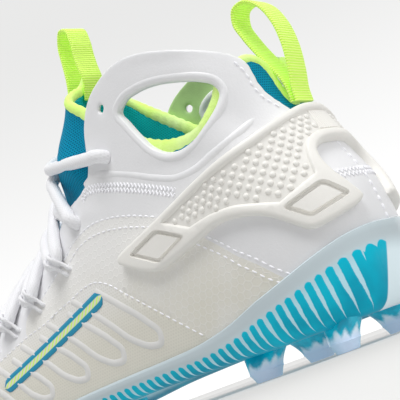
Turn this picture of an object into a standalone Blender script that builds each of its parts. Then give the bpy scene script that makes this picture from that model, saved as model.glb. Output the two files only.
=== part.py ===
"""A left mid-cut lacrosse cleat, standing empty on its studs.

The shoe is cut from flat patterns and wrapped on a last. A pattern point has a girth u, measured
round the foot from the back of the heel (plus is lateral, minus is medial), and a rise v, measured
up the wall from the feather edge. Tables are in millimetres and meshes in metres, +X to the toe,
+Y lateral, +Z up, with the studs on z = 0.
"""

import bmesh
import bpy
import numpy as np
from mathutils import Vector
from mathutils.geometry import delaunay_2d_cdt

MM = 0.001
ORIGIN_X = 142.05
ORIGIN_Y = 1.0

# Spacing of the pattern points
PATTERN_PITCH = 10.0
STRAP_PITCH = 7.5

# Wall thicknesses and clearances
UPPER_WALL = 2.0
CLEARANCE = 0.5
SLEEVE_CLEARANCE = 0.85
SLEEVE_WALL = 2.6
TONGUE_PAD = 3.6
TONGUE_RISE = 4.4
TONGUE_TOP_RISE = 5.0
RIM_WALL = 1.7
INSOLE_THICK = 3.8
STRAP_CLEARANCE = 0.75
STRAP_RIM = 3.4
STRAP_FIELD = 2.3
STRAP_GROOVE = 1.7
STRAP_PLATE = 2.9

# The last: half widths, ridge and feather edge at each distance from the heel
LAST_COLUMNS = ("x", "lateral", "medial", "ridge_y", "ridge_h", "feather_z", "round")
LAST = np.array([
    (38, 31.0, 28.8, 0.0, 270.0, 16.0, 0.72),
    (70, 31.5, 27.4, 0.0, 245.0, 17.0, 0.78),
    (100, 33.5, 26.5, 0.5, 152.0, 17.5, 0.97),
    (115, 35.0, 27.0, 0.6, 115.0, 17.3, 1.09),
    (130, 37.0, 28.0, 0.6, 91.5, 17.0, 1.12),
    (160, 42.0, 33.0, 0.2, 69.0, 15.5, 1.04),
    (190, 46.5, 40.0, -1.2, 57.0, 14.0, 0.90),
    (215, 46.0, 45.0, -3.2, 49.5, 14.0, 0.75),
    (238, 40.5, 44.0, -5.5, 46.0, 15.5, 0.62),
])
HEEL_X = 38.0
TOE_X = 238.0
TOE_LENGTH = 48.0
TOE_TIP_Y = -12.0
TOE_SPRING = 7.0
TOE_SQUARENESS = 2.3
FOREFOOT_SWELL = 3.0

# How far the heel's back and sides bulge from an upright wall, and how square its plan is, by height
HEEL_COLUMNS = ("height", "back", "side", "square")
HEEL_CURVE = np.array([
    (0, 0.0, 0.0, 2.2),
    (10, 1.5, 1.5, 2.18),
    (22, 2.6, 2.8, 2.12),
    (38, 1.2, 2.8, 2.02),
    (55, -5.0, 1.6, 1.9),
    (70, -10.0, 0.8, 1.8),
    (90, -11.4, 0.4, 1.8),
    (115, -10.5, 0.5, 1.85),
    (270, -6.0, 0.0, 2.2),
])

# Girth of the heel's and toe's quarter rounds, and of half the shoe
HEEL_GIRTH = 52.0
TOE_GIRTH = 62.0
SIDE_GIRTH = TOE_X - HEEL_X
HALF_GIRTH = HEEL_GIRTH + SIDE_GIRTH + TOE_GIRTH

# The throat: girth, and distance of its edge from the ridge
THROAT = np.array([
    (218.5, 0.0), (217.0, 6.0), (213.0, 12.0), (206.0, 17.0), (194.0, 21.0), (178.0, 23.5), (162.0, 24.5),
])

# The upper's edge from the throat round the ankle wing to the back of the heel: u, v
WING_EDGE = (
    (150, 76.5), (140, 77.8), (130, 77.5), (121, 77.5), (114, 80.5), (111, 86), (110.2, 92), (108.2, 100.5),
    (104.2, 106.2), (99, 110), (91, 113.2), (82.5, 115), (74, 114.6), (66, 112.6), (54, 107.6), (45, 103.4),
    (36, 99), (29, 95.4), (25.4, 92.4), (24.2, 88), (23.6, 83.5), (21.4, 79), (17.2, 75), (12, 70.6),
    (6, 67.6), (0, 67),
)
ANKLE_HOLE = (
    (85.6, 97.2), (81.5, 99.8), (74, 100.2), (64, 98.4), (53, 94.4), (44, 90.6), (39.8, 87.6), (38.6, 84),
    (40.6, 80.4), (45, 76.4), (51, 73), (57.5, 71.3), (63.5, 71.2), (69.5, 73.2), (75, 77.8), (79.4, 84.6),
    (83.2, 92),
)
EYELETS = ((93.9, 102.7, 1.7), (98.6, 83.8, 2.4), (126.8, 67.0, 2.4))

# The knitted sleeve: its top edge from the heel to the tongue's peak, u, v
SLEEVE_TOP = (
    (0, 76.5), (4.5, 77), (8, 81.5), (10.8, 88), (14.5, 92.6), (20, 94.6), (26, 94), (32, 91.6), (37.6, 87.4),
    (41.4, 82), (46, 78), (52, 75), (60, 74), (68, 75), (76, 78.2), (84, 83.5), (92, 90), (100, 97.5),
    (106, 103.5), (111.5, 109.5), (117, 116.5), (121.5, 124.5), (123.5, 131),
)
TONGUE_PEAK_U = 122.0
SLEEVE_FOOT = 5.0
SLEEVE_FRONT_U = 226.0

# The heel strap's half outline: along the top to the tip and back along the foot to the tab, u, v
STRAP_TOP = (
    (0, 72), (6, 72), (12, 71.2), (20, 68.9), (28, 66), (36, 63), (44, 60.6), (52, 58.6), (61, 56.4),
    (71, 53.6), (85, 49.8), (101, 45.8),
)
STRAP_TIP = ((101, 45.8), (104, 44.6), (105, 43), (104.6, 41.4))
STRAP_FOOT = (
    (104.6, 41.4), (92, 34.6), (88, 33.3), (84.5, 33.5), (68, 36.4), (56, 39), (51, 39.2), (46.5, 38.2),
    (41, 35.9), (35.5, 31.4), (32, 27.6), (29, 25.2), (25.5, 24.8),
)
STRAP_TAB = ((25.5, 24.8), (18, 26.4), (11, 28.6), (9.4, 29.8), (9.8, 31.6))
STRAP_NOTCH = (
    (9.8, 31.6), (13, 37), (15.6, 42), (16.6, 47), (15.8, 51), (13.4, 53.2), (9.8, 54.4), (5, 54.7),
    (0, 54.7),
)

# The sunk dot field, along its top and back along its foot to the heel, and the framed plates' corners
STRAP_FIELD_TOP = ((0, 68.4), (6, 68.4), (12, 67.6), (20, 65.3), (36, 59.4), (52, 55.2), (68, 51), (77.4, 48.4))
STRAP_FIELD_TIP = ((77.4, 48.4), (66, 42.4))
STRAP_FIELD_FOOT = ((66, 42.4), (60, 43), (53, 43.2), (47, 42.4), (40, 39.6), (34, 36.8))
STRAP_FIELD_CORNER = ((34, 36.8), (21.4, 41.8))
STRAP_FIELD_NOTCH = ((21.4, 41.8), (20.8, 48), (19, 53.4), (15.4, 56.8), (9, 58.4), (0, 58.6))
STRAP_WINDOWS = (
    ((98, 42.9), (82, 47.4), (68.4, 40.4), (84.6, 35.4)),
    ((34.2, 34.8), (20.4, 39.2), (13.4, 31.8), (27.6, 28.2)),
)
WINDOW_ROUND = 2.2
WINDOW_GROOVE = 1.3

# The sole plate: rim height on the upper, by girth
RIM = np.array([
    (0, 20.6), (12, 20.6), (22, 19.2), (32, 16.4), (42, 13.0), (52, 9.9), (67, 5.6), (83, 2.9), (100, 1.9),
    (130, 1.6), (200, 1.8), (252, 3.5), (285, 6.5), (314, 8.0),
])
RIM_OUT = CLEARANCE + RIM_WALL
FLOOR_DROP = 0.6

# The plate's section from under its middle, out round the rim and in to its floor
PLATE_COLUMNS = ("rim_share", "lift", "drop", "pull_in")
PLATE_SECTION = (
    (0.0, 0.0, 4.6, 12.0),
    (0.0, 0.0, 7.2, 5.5),
    (0.0, 0.0, 6.0, 0.6),
    (0.0, RIM_OUT - 0.2, 1.5, 0.0),
    (0.5, RIM_OUT, 0.0, 0.0),
    (1.0, RIM_OUT - 0.5, 0.0, 0.0),
    (1.0, CLEARANCE, 0.0, 0.0),
    (0.5, CLEARANCE, 0.0, 0.0),
    (0.0, CLEARANCE, FLOOR_DROP, 0.0),
)

# Studs: place, length along the shoe, width, turn in degrees
STUD_COLUMNS = ("name", "x", "y", "length", "width", "turn")
STUDS = (
    ("heel_lateral", 18.5, 20.5, 13.0, 8.5, -28),
    ("heel_medial", 19.5, -19.0, 13.0, 8.5, 28),
    ("waist_lateral", 54.0, 20.5, 13.0, 8.5, 0),
    ("waist_medial", 56.5, -17.0, 13.0, 8.5, 0),
    ("ball_lateral_rear", 166.0, 31.0, 13.0, 8.5, 6),
    ("ball_lateral", 194.0, 35.5, 13.0, 8.5, 0),
    ("ball_lateral_front", 222.0, 32.5, 13.0, 8.5, -12),
    ("ball_medial_rear", 171.0, -22.5, 13.0, 8.5, -10),
    ("ball_medial", 200.0, -31.5, 13.0, 8.5, -6),
    ("ball_medial_front", 229.0, -34.5, 13.0, 8.5, 6),
    ("toe_lateral", 251.0, 12.0, 11.0, 8.0, -30),
    ("toe_medial", 257.0, -23.0, 11.0, 8.0, 16),
)
TIP_HEIGHT = 3.6

# Height and swell of a stud's body, up to where it is fused with the plate, and of its tip
STUD_SECTION = ((TIP_HEIGHT + 0.3, 1.06), (8.0, 1.3), (11.3, 1.75))
TIP_SECTION = ((0.0, 0.75), (0.7, 0.82), (TIP_HEIGHT, 1.06))

# Lace rows from the top: girth, rise, girth where the crossing below it meets the ridge
LACE_RADIUS = 2.6
LACE_REACH = 5.0
LACE_APART = 6.4
LACE_LIFT = 0.7
PAST_EYELET = (3.6, 2.2)
PAST_LOOP = (1.0, 2.6)
EYELET_ROWS = ((98.6, 83.8, 139.0), (126.8, 67.0, 151.0))
LOOP_ROWS = (
    (142.0, 46.0, 164.0),
    (163.0, 38.5, 179.0),
    (181.0, 34.5, 193.0),
    (196.0, 31.0, 205.0),
    (208.5, 27.5, 0.0),
)
LOOP_WIDTH = 5.6
LOOP_REACH = 9.5
LOOP_CORD = 0.8

# Pull loops of webbing, in the plane of the shoe's middle: x, z
WEBBING_WIDE = 11.0
WEBBING_THICK = 1.3
HEEL_PULL = (
    (10.6, 88), (10.4, 92.5), (8.6, 100), (7.2, 110), (8, 119.5), (11.6, 127.8), (17, 132), (21.6, 131.5),
    (23.6, 127), (22, 119.5), (18.6, 110.5), (15, 102.5), (12.9, 96.5), (12.5, 92), (12.6, 88.6),
)
TONGUE_PULL = (
    (121.4, 138), (119.6, 142.4), (118.2, 147.4), (117.5, 153), (117.4, 160), (117, 168), (113.6, 173),
    (109, 171.2), (107.2, 165), (107.2, 158), (106.6, 152.5), (106, 148), (107.4, 143), (109.2, 138.3),
)

COLOURS = {
    "white": (0.86, 0.86, 0.86),
    "cream": (0.80, 0.77, 0.71),
    "blue": (0.0, 0.33, 0.55),
    "volt": (0.62, 0.90, 0.05),
    "frost": (0.70, 0.87, 0.92),
    "tip": (0.78, 0.87, 0.95),
    "grey": (0.45, 0.47, 0.48),
}


def cubic(x, xs, ys):
    """Smooth curve through the points (xs, ys), read at x."""
    x = np.clip(np.asarray(x, float), xs[0], xs[-1])
    slope = np.gradient(ys, xs)
    i = np.clip(np.searchsorted(xs, x, side="right") - 1, 0, len(xs) - 2)
    span = xs[i + 1] - xs[i]
    t = (x - xs[i]) / span
    rise = (2 * t**3 - 3 * t**2 + 1) * ys[i] + (3 * t**2 - 2 * t**3) * ys[i + 1]
    return rise + span * ((t**3 - 2 * t**2 + t) * slope[i] + (t**3 - t**2) * slope[i + 1])


def last_value(x, column):
    return cubic(x, LAST[:, 0], LAST[:, LAST_COLUMNS.index(column)])


def heel_value(height, column):
    return cubic(height, HEEL_CURVE[:, 0], HEEL_CURVE[:, HEEL_COLUMNS.index(column)])


def ease(t):
    t = np.clip(t, 0.0, 1.0)
    return t * t * (3 - 2 * t)


def last_point(u, angle):
    """Point of the last at girth u and section angle, 0 at the feather edge and 90 degrees at the ridge."""
    u, angle = np.broadcast_arrays(np.asarray(u, float), np.asarray(angle, float))
    along = np.abs(u)
    x = np.clip(HEEL_X + along - HEEL_GIRTH, HEEL_X, TOE_X)
    half = np.where(u >= 0, last_value(x, "lateral"), -last_value(x, "medial"))
    ridge_y = last_value(x, "ridge_y")
    heel_turn = np.radians(np.clip(90 * along / HEEL_GIRTH, 0, 90))
    toe_turn = np.radians(np.clip(90 * (HALF_GIRTH - along) / TOE_GIRTH, 0, 90))
    at_heel = along < HEEL_GIRTH
    at_toe = along > HEEL_GIRTH + SIDE_GIRTH
    height = last_value(x, "ridge_h") * np.sin(angle)
    h = 2 / heel_value(height, "square")
    t = 2 / TOE_SQUARENESS
    base_x = np.where(at_heel, HEEL_X * (1 - np.cos(heel_turn) ** h), x)
    base_x = np.where(at_toe, TOE_X + TOE_LENGTH * np.cos(toe_turn) ** t, base_x)
    toe_y = ridge_y + (half - ridge_y) * np.sin(toe_turn) ** t
    toe_y = toe_y + (TOE_TIP_Y - ridge_y) * np.cos(toe_turn) ** 1.5
    base_y = np.where(at_heel, half * np.sin(heel_turn) ** h, np.where(at_toe, toe_y, half))
    reach = np.hypot(base_x - x, base_y - ridge_y)
    back = np.where(at_heel, np.cos(heel_turn) ** 2, 0.0)
    rear = ease((150 - x) / 80)
    bulge = back * heel_value(height, "back") + (1 - back) * heel_value(height, "side")
    bulge = rear * bulge + (1 - rear) * FOREFOOT_SWELL * np.sin(2 * angle)
    closing = np.maximum(np.cos(angle), 0)
    share = closing ** last_value(x, "round") * (1 + bulge / reach)
    lift = np.where(at_toe, TOE_SPRING * np.cos(toe_turn) ** 2, 0.0) * closing
    z = last_value(x, "feather_z") + lift + height
    return np.stack([x + (base_x - x) * share, ridge_y + (base_y - ridge_y) * share, z], -1)


STATIONS = np.linspace(-HALF_GIRTH, HALF_GIRTH, 629)
ANGLES = np.radians(np.linspace(0, 90, 181))
_NET = last_point(STATIONS[:, None], ANGLES[None, :])
_STEPS = np.linalg.norm(np.diff(_NET, axis=1), axis=-1)
RISES = np.concatenate([np.zeros((len(STATIONS), 1)), np.cumsum(_STEPS, axis=1)], axis=1)


def ridge_rise(u):
    """Rise of the ridge at girth u."""
    return np.interp(u, STATIONS, RISES[:, -1])


def section_angle(u, v):
    """Section angle at which the wall has risen by v."""
    i = np.clip(np.searchsorted(STATIONS, u) - 1, 0, len(STATIONS) - 2)
    share = (u - STATIONS[i]) / (STATIONS[i + 1] - STATIONS[i])
    way = v / ridge_rise(u)
    near = np.array([np.interp(w * RISES[k, -1], RISES[k], ANGLES) for w, k in zip(way, i)])
    far = np.array([np.interp(w * RISES[k + 1, -1], RISES[k + 1], ANGLES) for w, k in zip(way, i)])
    return near + (far - near) * share


def wrap(u, v, lift=0.0):
    """Points at pattern places (u, v), lifted off the last along its normal."""
    u = np.atleast_1d(np.asarray(u, float))
    v = np.broadcast_to(np.asarray(v, float), u.shape)
    angle = section_angle(u, v)
    return last_point(u, angle) + np.broadcast_to(lift, u.shape)[:, None] * last_normal(u, angle)


def last_normal(u, angle):
    turn = np.radians(0.4)
    a = np.clip(angle, 2 * turn, np.pi / 2 - 2 * turn)
    across = last_point(u, a + turn) - last_point(u, a - turn)
    along = last_point(u + 0.25, a) - last_point(u - 0.25, a)
    normal = np.cross(across, along)
    return normal / np.linalg.norm(normal, axis=-1, keepdims=True)


def smooth_line(points, step):
    """Points about one step apart along a smooth curve through the given ones."""
    points = np.asarray(points, float)
    chord = np.concatenate([[0], np.cumsum(np.linalg.norm(np.diff(points, axis=0), axis=1))])
    count = max(2, int(round(chord[-1] / step)) + 1)
    at = np.linspace(0, chord[-1], count)
    return np.stack([cubic(at, chord, points[:, k]) for k in range(points.shape[1])], -1)


def smooth_loop(points, step):
    """Closed smooth curve through the given points."""
    points = np.asarray(points, float)
    ring = np.concatenate([points[-3:], points, points[:3]])
    chord = np.concatenate([[0], np.cumsum(np.linalg.norm(np.diff(ring, axis=0), axis=1))])
    start, end = chord[3], chord[len(points) + 3]
    at = np.linspace(start, end, max(6, int(round((end - start) / step))), endpoint=False)
    return np.stack([cubic(at, chord, ring[:, k]) for k in range(2)], -1)


def rounded_corners(corners, radius, count=4):
    """Closed outline with straight sides and each corner replaced by a round of the given reach."""
    corners = np.asarray(corners, float)
    line = []
    for before, corner, after in zip(np.roll(corners, 1, axis=0), corners, np.roll(corners, -1, axis=0)):
        start = corner + radius * (before - corner) / np.linalg.norm(before - corner)
        end = corner + radius * (after - corner) / np.linalg.norm(after - corner)
        t = np.linspace(0, 1, count)[:, None]
        line.append((1 - t) ** 2 * start + 2 * t * (1 - t) * corner + t**2 * end)
    return np.concatenate(line)


def chain(*lines):
    """One closed outline from lines that follow each other."""
    return np.concatenate([line[:-1] for line in lines])


def inside(points, outline):
    """Which points lie inside a closed outline."""
    x, y = points[:, 0, None], points[:, 1, None]
    a, b = outline, np.roll(outline, -1, axis=0)
    crosses = (a[:, 1] > y) != (b[:, 1] > y)
    rise = np.where(b[:, 1] == a[:, 1], 1e-12, b[:, 1] - a[:, 1])
    return (crosses & (x < a[:, 0] + (b[:, 0] - a[:, 0]) * (y - a[:, 1]) / rise)).sum(axis=1) % 2 == 1


def distance(points, outline):
    """Distance of each point from a closed outline's corners."""
    return np.sqrt(((points[:, None, :] - outline[None, :, :]) ** 2).sum(-1)).min(axis=1)


def inset(outline, amount):
    """The outline moved inward by a small amount."""
    along = np.roll(outline, -1, axis=0) - np.roll(outline, 1, axis=0)
    area = np.sum(outline[:, 0] * np.roll(outline[:, 1], -1) - outline[:, 1] * np.roll(outline[:, 0], -1))
    normal = np.stack([-along[:, 1], along[:, 0]], -1) * np.sign(area)
    return outline + amount * normal / np.linalg.norm(normal, axis=1, keepdims=True)


def cut_pattern(outline, pitch, holes=(), creases=()):
    """Flat pattern as points and triangles, with holes cut out and crease lines kept as edges."""
    loops = [outline, *holes, *creases]
    lines = np.concatenate(loops)
    low, high = outline.min(axis=0), outline.max(axis=0)
    rows = np.arange(int(high[1] / pitch / 0.866) + 2)
    columns = np.arange(int(low[0] / pitch) - 1, int(high[0] / pitch) + 2)
    grid = np.array([((c + 0.5 * (r % 2)) * pitch, 0.866 * r * pitch) for r in rows for c in columns])
    grid = grid[inside(grid, outline)]
    grid = grid[distance(grid, lines) > 0.6 * pitch]
    edges = []
    start = 0
    for loop in loops:
        edges += [(start + k, start + (k + 1) % len(loop)) for k in range(len(loop))]
        start += len(loop)
    places = [Vector(p) for p in np.concatenate([lines, grid])]
    flat = delaunay_2d_cdt(places, edges, [], 0, 1e-5)
    points = np.array([tuple(p) for p in flat[0]])
    triangles = np.array([tuple(f) for f in flat[2]])
    middle = points[triangles].mean(axis=1)
    keep = inside(middle, outline)
    for hole in holes:
        keep &= ~inside(middle, hole)
    return points, triangles[keep]


def material(name, colour, roughness=0.6, transmission=0.0):
    made = bpy.data.materials.new(name)
    made.use_nodes = True
    shader = made.node_tree.nodes["Principled BSDF"]
    shader.inputs["Base Color"].default_value = (*COLOURS[colour], 1.0)
    shader.inputs["Roughness"].default_value = roughness
    shader.inputs["Metallic"].default_value = 0.0
    shader.inputs["Transmission Weight"].default_value = transmission
    return made


def add_object(name, points, faces, look):
    """Mesh object in the shoe's frame from points in millimetres, with its faces turned outward."""
    built = bmesh.new()
    corners = [built.verts.new(Vector(p) * MM) for p in points]
    for face in faces:
        built.faces.new([corners[k] for k in face])
    bmesh.ops.recalc_face_normals(built, faces=built.faces)
    mesh = bpy.data.meshes.new(name)
    built.to_mesh(mesh)
    built.free()
    mesh.shade_smooth()
    mesh.set_sharp_from_angle(angle=np.radians(40))
    mesh.materials.append(look)
    made = bpy.data.objects.new(name, mesh)
    bpy.context.scene.collection.objects.link(made)
    made.parent = SHOE
    return made


def add_shell(name, patterns, outer, inner, look):
    """Wrapped patterns joined into one wall between two lifts, each given at the pattern's points."""
    flat = np.concatenate([points for points, _ in patterns])
    starts = np.cumsum([0] + [len(points) for points, _ in patterns])
    triangles = np.concatenate([tris + start for (_, tris), start in zip(patterns, starts)])
    angle = section_angle(flat[:, 0], flat[:, 1])
    place = last_point(flat[:, 0], angle)
    normal = last_normal(flat[:, 0], angle)
    keys, joined = np.unique(np.round(place, 2), axis=0, return_inverse=True)
    joined = joined.reshape(-1)
    count = len(keys)
    share = np.bincount(joined, minlength=count)[:, None]

    def merged(values):
        return np.stack([np.bincount(joined, column, count) for column in values.T], -1) / share

    place, normal = merged(place), merged(normal)
    normal /= np.linalg.norm(normal, axis=1, keepdims=True)
    lifts = merged(np.stack([np.broadcast_to(outer, len(flat)), np.broadcast_to(inner, len(flat))], -1))
    triangles = joined[triangles]
    whole = (triangles != np.roll(triangles, 1, axis=1)).all(axis=1)
    triangles = triangles[whole]
    sides = np.concatenate([triangles[:, [0, 1]], triangles[:, [1, 2]], triangles[:, [2, 0]]])
    _, first, uses = np.unique(np.sort(sides, axis=1), axis=0, return_index=True, return_counts=True)
    rims = sides[first[uses == 1]]
    used = np.unique(triangles)
    number = np.full(count, -1)
    number[used] = np.arange(len(used))
    layers = [place[used] + lifts[used, k : k + 1] * normal[used] for k in (0, 1)]
    points = np.concatenate(layers)
    triangles, rims, n = number[triangles], number[rims], len(used)
    faces = [*triangles.tolist(), *(triangles[:, ::-1] + n).tolist()]
    faces += [(b, a, a + n, b + n) for a, b in rims.tolist()]
    return add_object(name, points, faces, look)


def side_patterns(outline_of, pitch, holes=()):
    """Lateral and medial halves, each with its own ridge."""
    halves = []
    for side in (1, -1):
        points, triangles = cut_pattern(outline_of(side), pitch, holes)
        halves.append((points * (side, 1), triangles))
    return halves


def straight(start, end, step):
    count = max(2, int(round(np.hypot(end[0] - start[0], end[1] - start[1]) / step)) + 1)
    return np.linspace(start, end, count)


def ridge_line(start, end, side, step):
    u = np.linspace(start, end, max(2, int(round(abs(end - start) / step)) + 1))
    return np.stack([u, ridge_rise(side * u)], -1)


def throat_line(side, step):
    """The throat's edge on one side, from its front end to the ankle wing."""
    u = np.concatenate([THROAT[:, 0], [WING_EDGE[0][0] + 3]])
    gap = np.concatenate([THROAT[:, 1], [26.0]])
    edge = np.stack([u, ridge_rise(side * u) - gap], -1)
    return smooth_line(edge, step)


def upper_outline(side, step=8.0):
    toe = ridge_rise(HALF_GIRTH)
    throat = throat_line(side, 5.0)
    wing = smooth_line([tuple(throat[-1]), *WING_EDGE], 4.5)
    return chain(
        straight((0, 0), (HALF_GIRTH, 0), step),
        straight((HALF_GIRTH, 0), (HALF_GIRTH, toe), step),
        ridge_line(HALF_GIRTH, THROAT[0, 0], side, step),
        throat,
        wing,
        straight((0, WING_EDGE[-1][1]), (0, 0), step),
    )


def circle(u, v, radius, count):
    turn = np.linspace(0, 2 * np.pi, count, endpoint=False)
    return np.stack([u + radius * np.cos(turn), v + radius * np.sin(turn)], -1)


def add_upper():
    holes = [smooth_loop(ANKLE_HOLE, 4.0)] + [circle(u, v, r, 8) for u, v, r in EYELETS]
    halves = side_patterns(upper_outline, PATTERN_PITCH, holes)
    return add_shell("upper", halves, 0.0, -UPPER_WALL, material("upper_skin", "white", 0.45))


def sleeve_outline(side, step=9.0):
    peak = (TONGUE_PEAK_U, float(ridge_rise(side * TONGUE_PEAK_U)))
    front = (SLEEVE_FRONT_U, float(ridge_rise(side * SLEEVE_FRONT_U)))
    heel = (0.0, float(SLEEVE_TOP[0][1]))
    return chain(
        straight((0, SLEEVE_FOOT), (SLEEVE_FRONT_U - 14, SLEEVE_FOOT), step),
        straight((SLEEVE_FRONT_U - 14, SLEEVE_FOOT), front, step),
        ridge_line(SLEEVE_FRONT_U, TONGUE_PEAK_U, side, step),
        smooth_line([peak, *SLEEVE_TOP[::-1]], 6.0),
        straight(heel, (0, SLEEVE_FOOT), step),
    )


def tongue_share(flat):
    """How far into the open throat a pattern point lies, from 0 at the upper's edge to 1."""
    share = np.zeros(len(flat))
    for side in (1, -1):
        here = flat[:, 0] * side >= 0
        place = flat[here] * (side, 1)
        edge = upper_outline(side, 3.0)
        away = np.where(inside(place, edge), 0.0, distance(place, edge[edge[:, 1] > 1]))
        share[here] = ease((away - 4.0) / 15.0) * ease((np.abs(place[:, 0]) - 100) / 14)
    return share


def ridge_gap(flat):
    return ridge_rise(flat[:, 0]) - flat[:, 1]


def tongue_lift(flat):
    """Lift of the sleeve's outside: under the upper, and padded up in the open throat."""
    on_ridge = ease((12 - ridge_gap(flat)) / 12) * ease((212 - np.abs(flat[:, 0])) / 12)
    in_throat = np.maximum(tongue_share(flat), on_ridge)
    rise = TONGUE_RISE + TONGUE_TOP_RISE * ease((164 - np.abs(flat[:, 0])) / 28)
    return -UPPER_WALL - SLEEVE_CLEARANCE + rise * in_throat * ease((214 - np.abs(flat[:, 0])) / 14)


def add_sleeve():
    halves = side_patterns(sleeve_outline, PATTERN_PITCH)
    flat = np.concatenate([points for points, _ in halves])
    outer = tongue_lift(flat)
    inner = outer - SLEEVE_WALL - TONGUE_PAD * tongue_share(flat)
    return add_shell("inner_sleeve", halves, outer, inner, material("sleeve_knit", "blue", 0.9))


def strap_half(step=4.5):
    return np.concatenate([
        smooth_line(STRAP_TOP, step)[:-1],
        smooth_line(STRAP_TIP, step)[:-1],
        smooth_line(STRAP_FOOT, step)[:-1],
        smooth_line(STRAP_TAB, step)[:-1],
        smooth_line(STRAP_NOTCH, step),
    ])


def field_half(step=6.0):
    return np.concatenate([
        smooth_line(STRAP_FIELD_TOP, step)[:-1],
        straight(*STRAP_FIELD_TIP, step)[:-1],
        smooth_line(STRAP_FIELD_FOOT, step)[:-1],
        straight(*STRAP_FIELD_CORNER, step)[:-1],
        smooth_line(STRAP_FIELD_NOTCH, step),
    ])


def both_halves(half):
    """Closed outline of a half that starts and ends on the heel's middle line, and of its mirror image."""
    return np.concatenate([half, (half * (-1, 1))[-2:0:-1]])


def add_heel_strap():
    """Moulded strap round the heel, with a sunk dot field and a sunk groove round each plate."""
    outline = both_halves(strap_half())
    levels = [(both_halves(field_half()), STRAP_FIELD)]
    for side in (1, -1):
        for window in STRAP_WINDOWS:
            frame = rounded_corners(window, WINDOW_ROUND) * (side, 1)
            levels.append((frame, STRAP_GROOVE))
            levels.append((inset(frame, WINDOW_GROOVE), STRAP_PLATE))
    creases = []
    for line, _ in levels:
        creases += [inset(line, -0.2), inset(line, 0.2)]
    points, triangles = cut_pattern(outline, STRAP_PITCH, (), creases)
    lift = np.full(len(points), STRAP_RIM)
    for line, level in levels:
        lift[inside(points, line)] = level
    look = material("strap_rubber", "cream", 0.55)
    return add_shell("heel_strap", [(points, triangles)], lift, STRAP_CLEARANCE, look)


def both_sides(count):
    """Girths from the heel to the toe, closer together round the two ends."""
    t = np.linspace(0, 1, count)
    return HALF_GIRTH * (t - 0.085 * np.sin(2 * np.pi * t))


def around(lateral, medial):
    """Closed ring of points from the two sides, which share their first and last place."""
    return np.concatenate([lateral, medial[-2:0:-1]])


def ladder(count, ring, start):
    """Faces that close a ring straight across the shoe."""
    faces = []
    lateral = [start + k for k in range(count)]
    medial = [start] + [start + ring - k for k in range(1, count - 1)] + [start + count - 1]
    for k in range(count - 1):
        face = list(dict.fromkeys((lateral[k], lateral[k + 1], medial[k + 1], medial[k])))
        if len(face) > 2:
            faces.append(face)
    return faces


def stacked_rings(rings, count):
    """Points and faces of a solid made of rings, closed across the first and the last."""
    ring = len(rings[0])
    points = np.concatenate(rings)
    faces = []
    for level in range(len(rings) - 1):
        for k in range(ring):
            n = (k + 1) % ring
            faces.append((level * ring + k, level * ring + n, (level + 1) * ring + n, (level + 1) * ring + k))
    faces += ladder(count, ring, 0)
    faces += ladder(count, ring, (len(rings) - 1) * ring)
    return points, faces


def ring_at(u, rise, lift, drop=0.0, pull_in=0.0):
    """Ring round the shoe: wrapped at a rise and lift, then dropped and drawn in level."""
    sides = []
    for side in (1, -1):
        place = wrap(side * u, rise, lift)
        if pull_in:
            out = last_normal(side * u, np.zeros(len(u))) * (1, 1, 0)
            place = place - pull_in * out / np.linalg.norm(out, axis=1, keepdims=True)
        sides.append(place - (0, 0, drop))
    return around(*sides)


def stud_rings(stud, section):
    """Rounded blade section of a stud at each height, grown by the share that goes with it."""
    place = dict(zip(STUD_COLUMNS, stud))
    turn = np.radians(place["turn"])
    angle = np.linspace(0, 2 * np.pi, 10, endpoint=False)
    c, s = np.cos(angle), np.sin(angle)
    blade_x = place["length"] / 2 * np.sign(c) * np.abs(c) ** 0.7
    blade_y = place["width"] / 2 * np.sign(s) * np.abs(s) ** 0.8
    rings = []
    for z, share in section:
        x = place["x"] + share * (blade_x * np.cos(turn) - blade_y * np.sin(turn))
        y = place["y"] + share * (blade_x * np.sin(turn) + blade_y * np.cos(turn))
        rings.append(np.stack([x, y, np.full(len(x), z)], -1))
    return rings


def tower(rings):
    """Points and faces of a closed stack of rings with flat ends."""
    n = len(rings[0])
    faces = [tuple(range(n)), tuple(range((len(rings) - 1) * n, len(rings) * n))]
    for level in range(len(rings) - 1):
        for k in range(n):
            m = (k + 1) % n
            faces.append((level * n + k, level * n + m, (level + 1) * n + m, (level + 1) * n + k))
    return np.concatenate(rings), faces


def join(target, cutter, operation):
    """Boolean with a hidden helper object."""
    cutter.hide_render = True
    cutter.display_type = "WIRE"
    change = target.modifiers.new(cutter.name, "BOOLEAN")
    change.operation = operation
    change.solver = "EXACT"
    change.object = cutter


def add_sole():
    """Tray-shaped plate with a raised rim, fused with its stud bodies."""
    count = 37
    u = both_sides(count)
    rim = cubic(u, RIM[:, 0], RIM[:, 1])
    rows = [dict(zip(PLATE_COLUMNS, row)) for row in PLATE_SECTION]
    rings = [ring_at(u, row["rim_share"] * rim, row["lift"], row["drop"], row["pull_in"]) for row in rows]
    points, faces = stacked_rings(rings, count)
    plate = add_object("sole_plate", points, faces, material("plate_clear", "frost", 0.25, 0.5))
    towers = [tower(stud_rings(stud, STUD_SECTION)) for stud in STUDS]
    starts = np.cumsum([0] + [len(points) for points, _ in towers])
    points = np.concatenate([points for points, _ in towers])
    faces = [tuple(k + start for k in face) for (_, faces), start in zip(towers, starts) for face in faces]
    studs = add_object("stud_bodies", points, faces, material("stud_clear", "frost", 0.2, 0.5))
    join(plate, studs, "UNION")
    for stud in STUDS:
        points, faces = tower(stud_rings(stud, TIP_SECTION))
        add_object("stud_tip_" + stud[0], points, faces, material("tip_" + stud[0], "tip", 0.3, 0.3))


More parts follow.
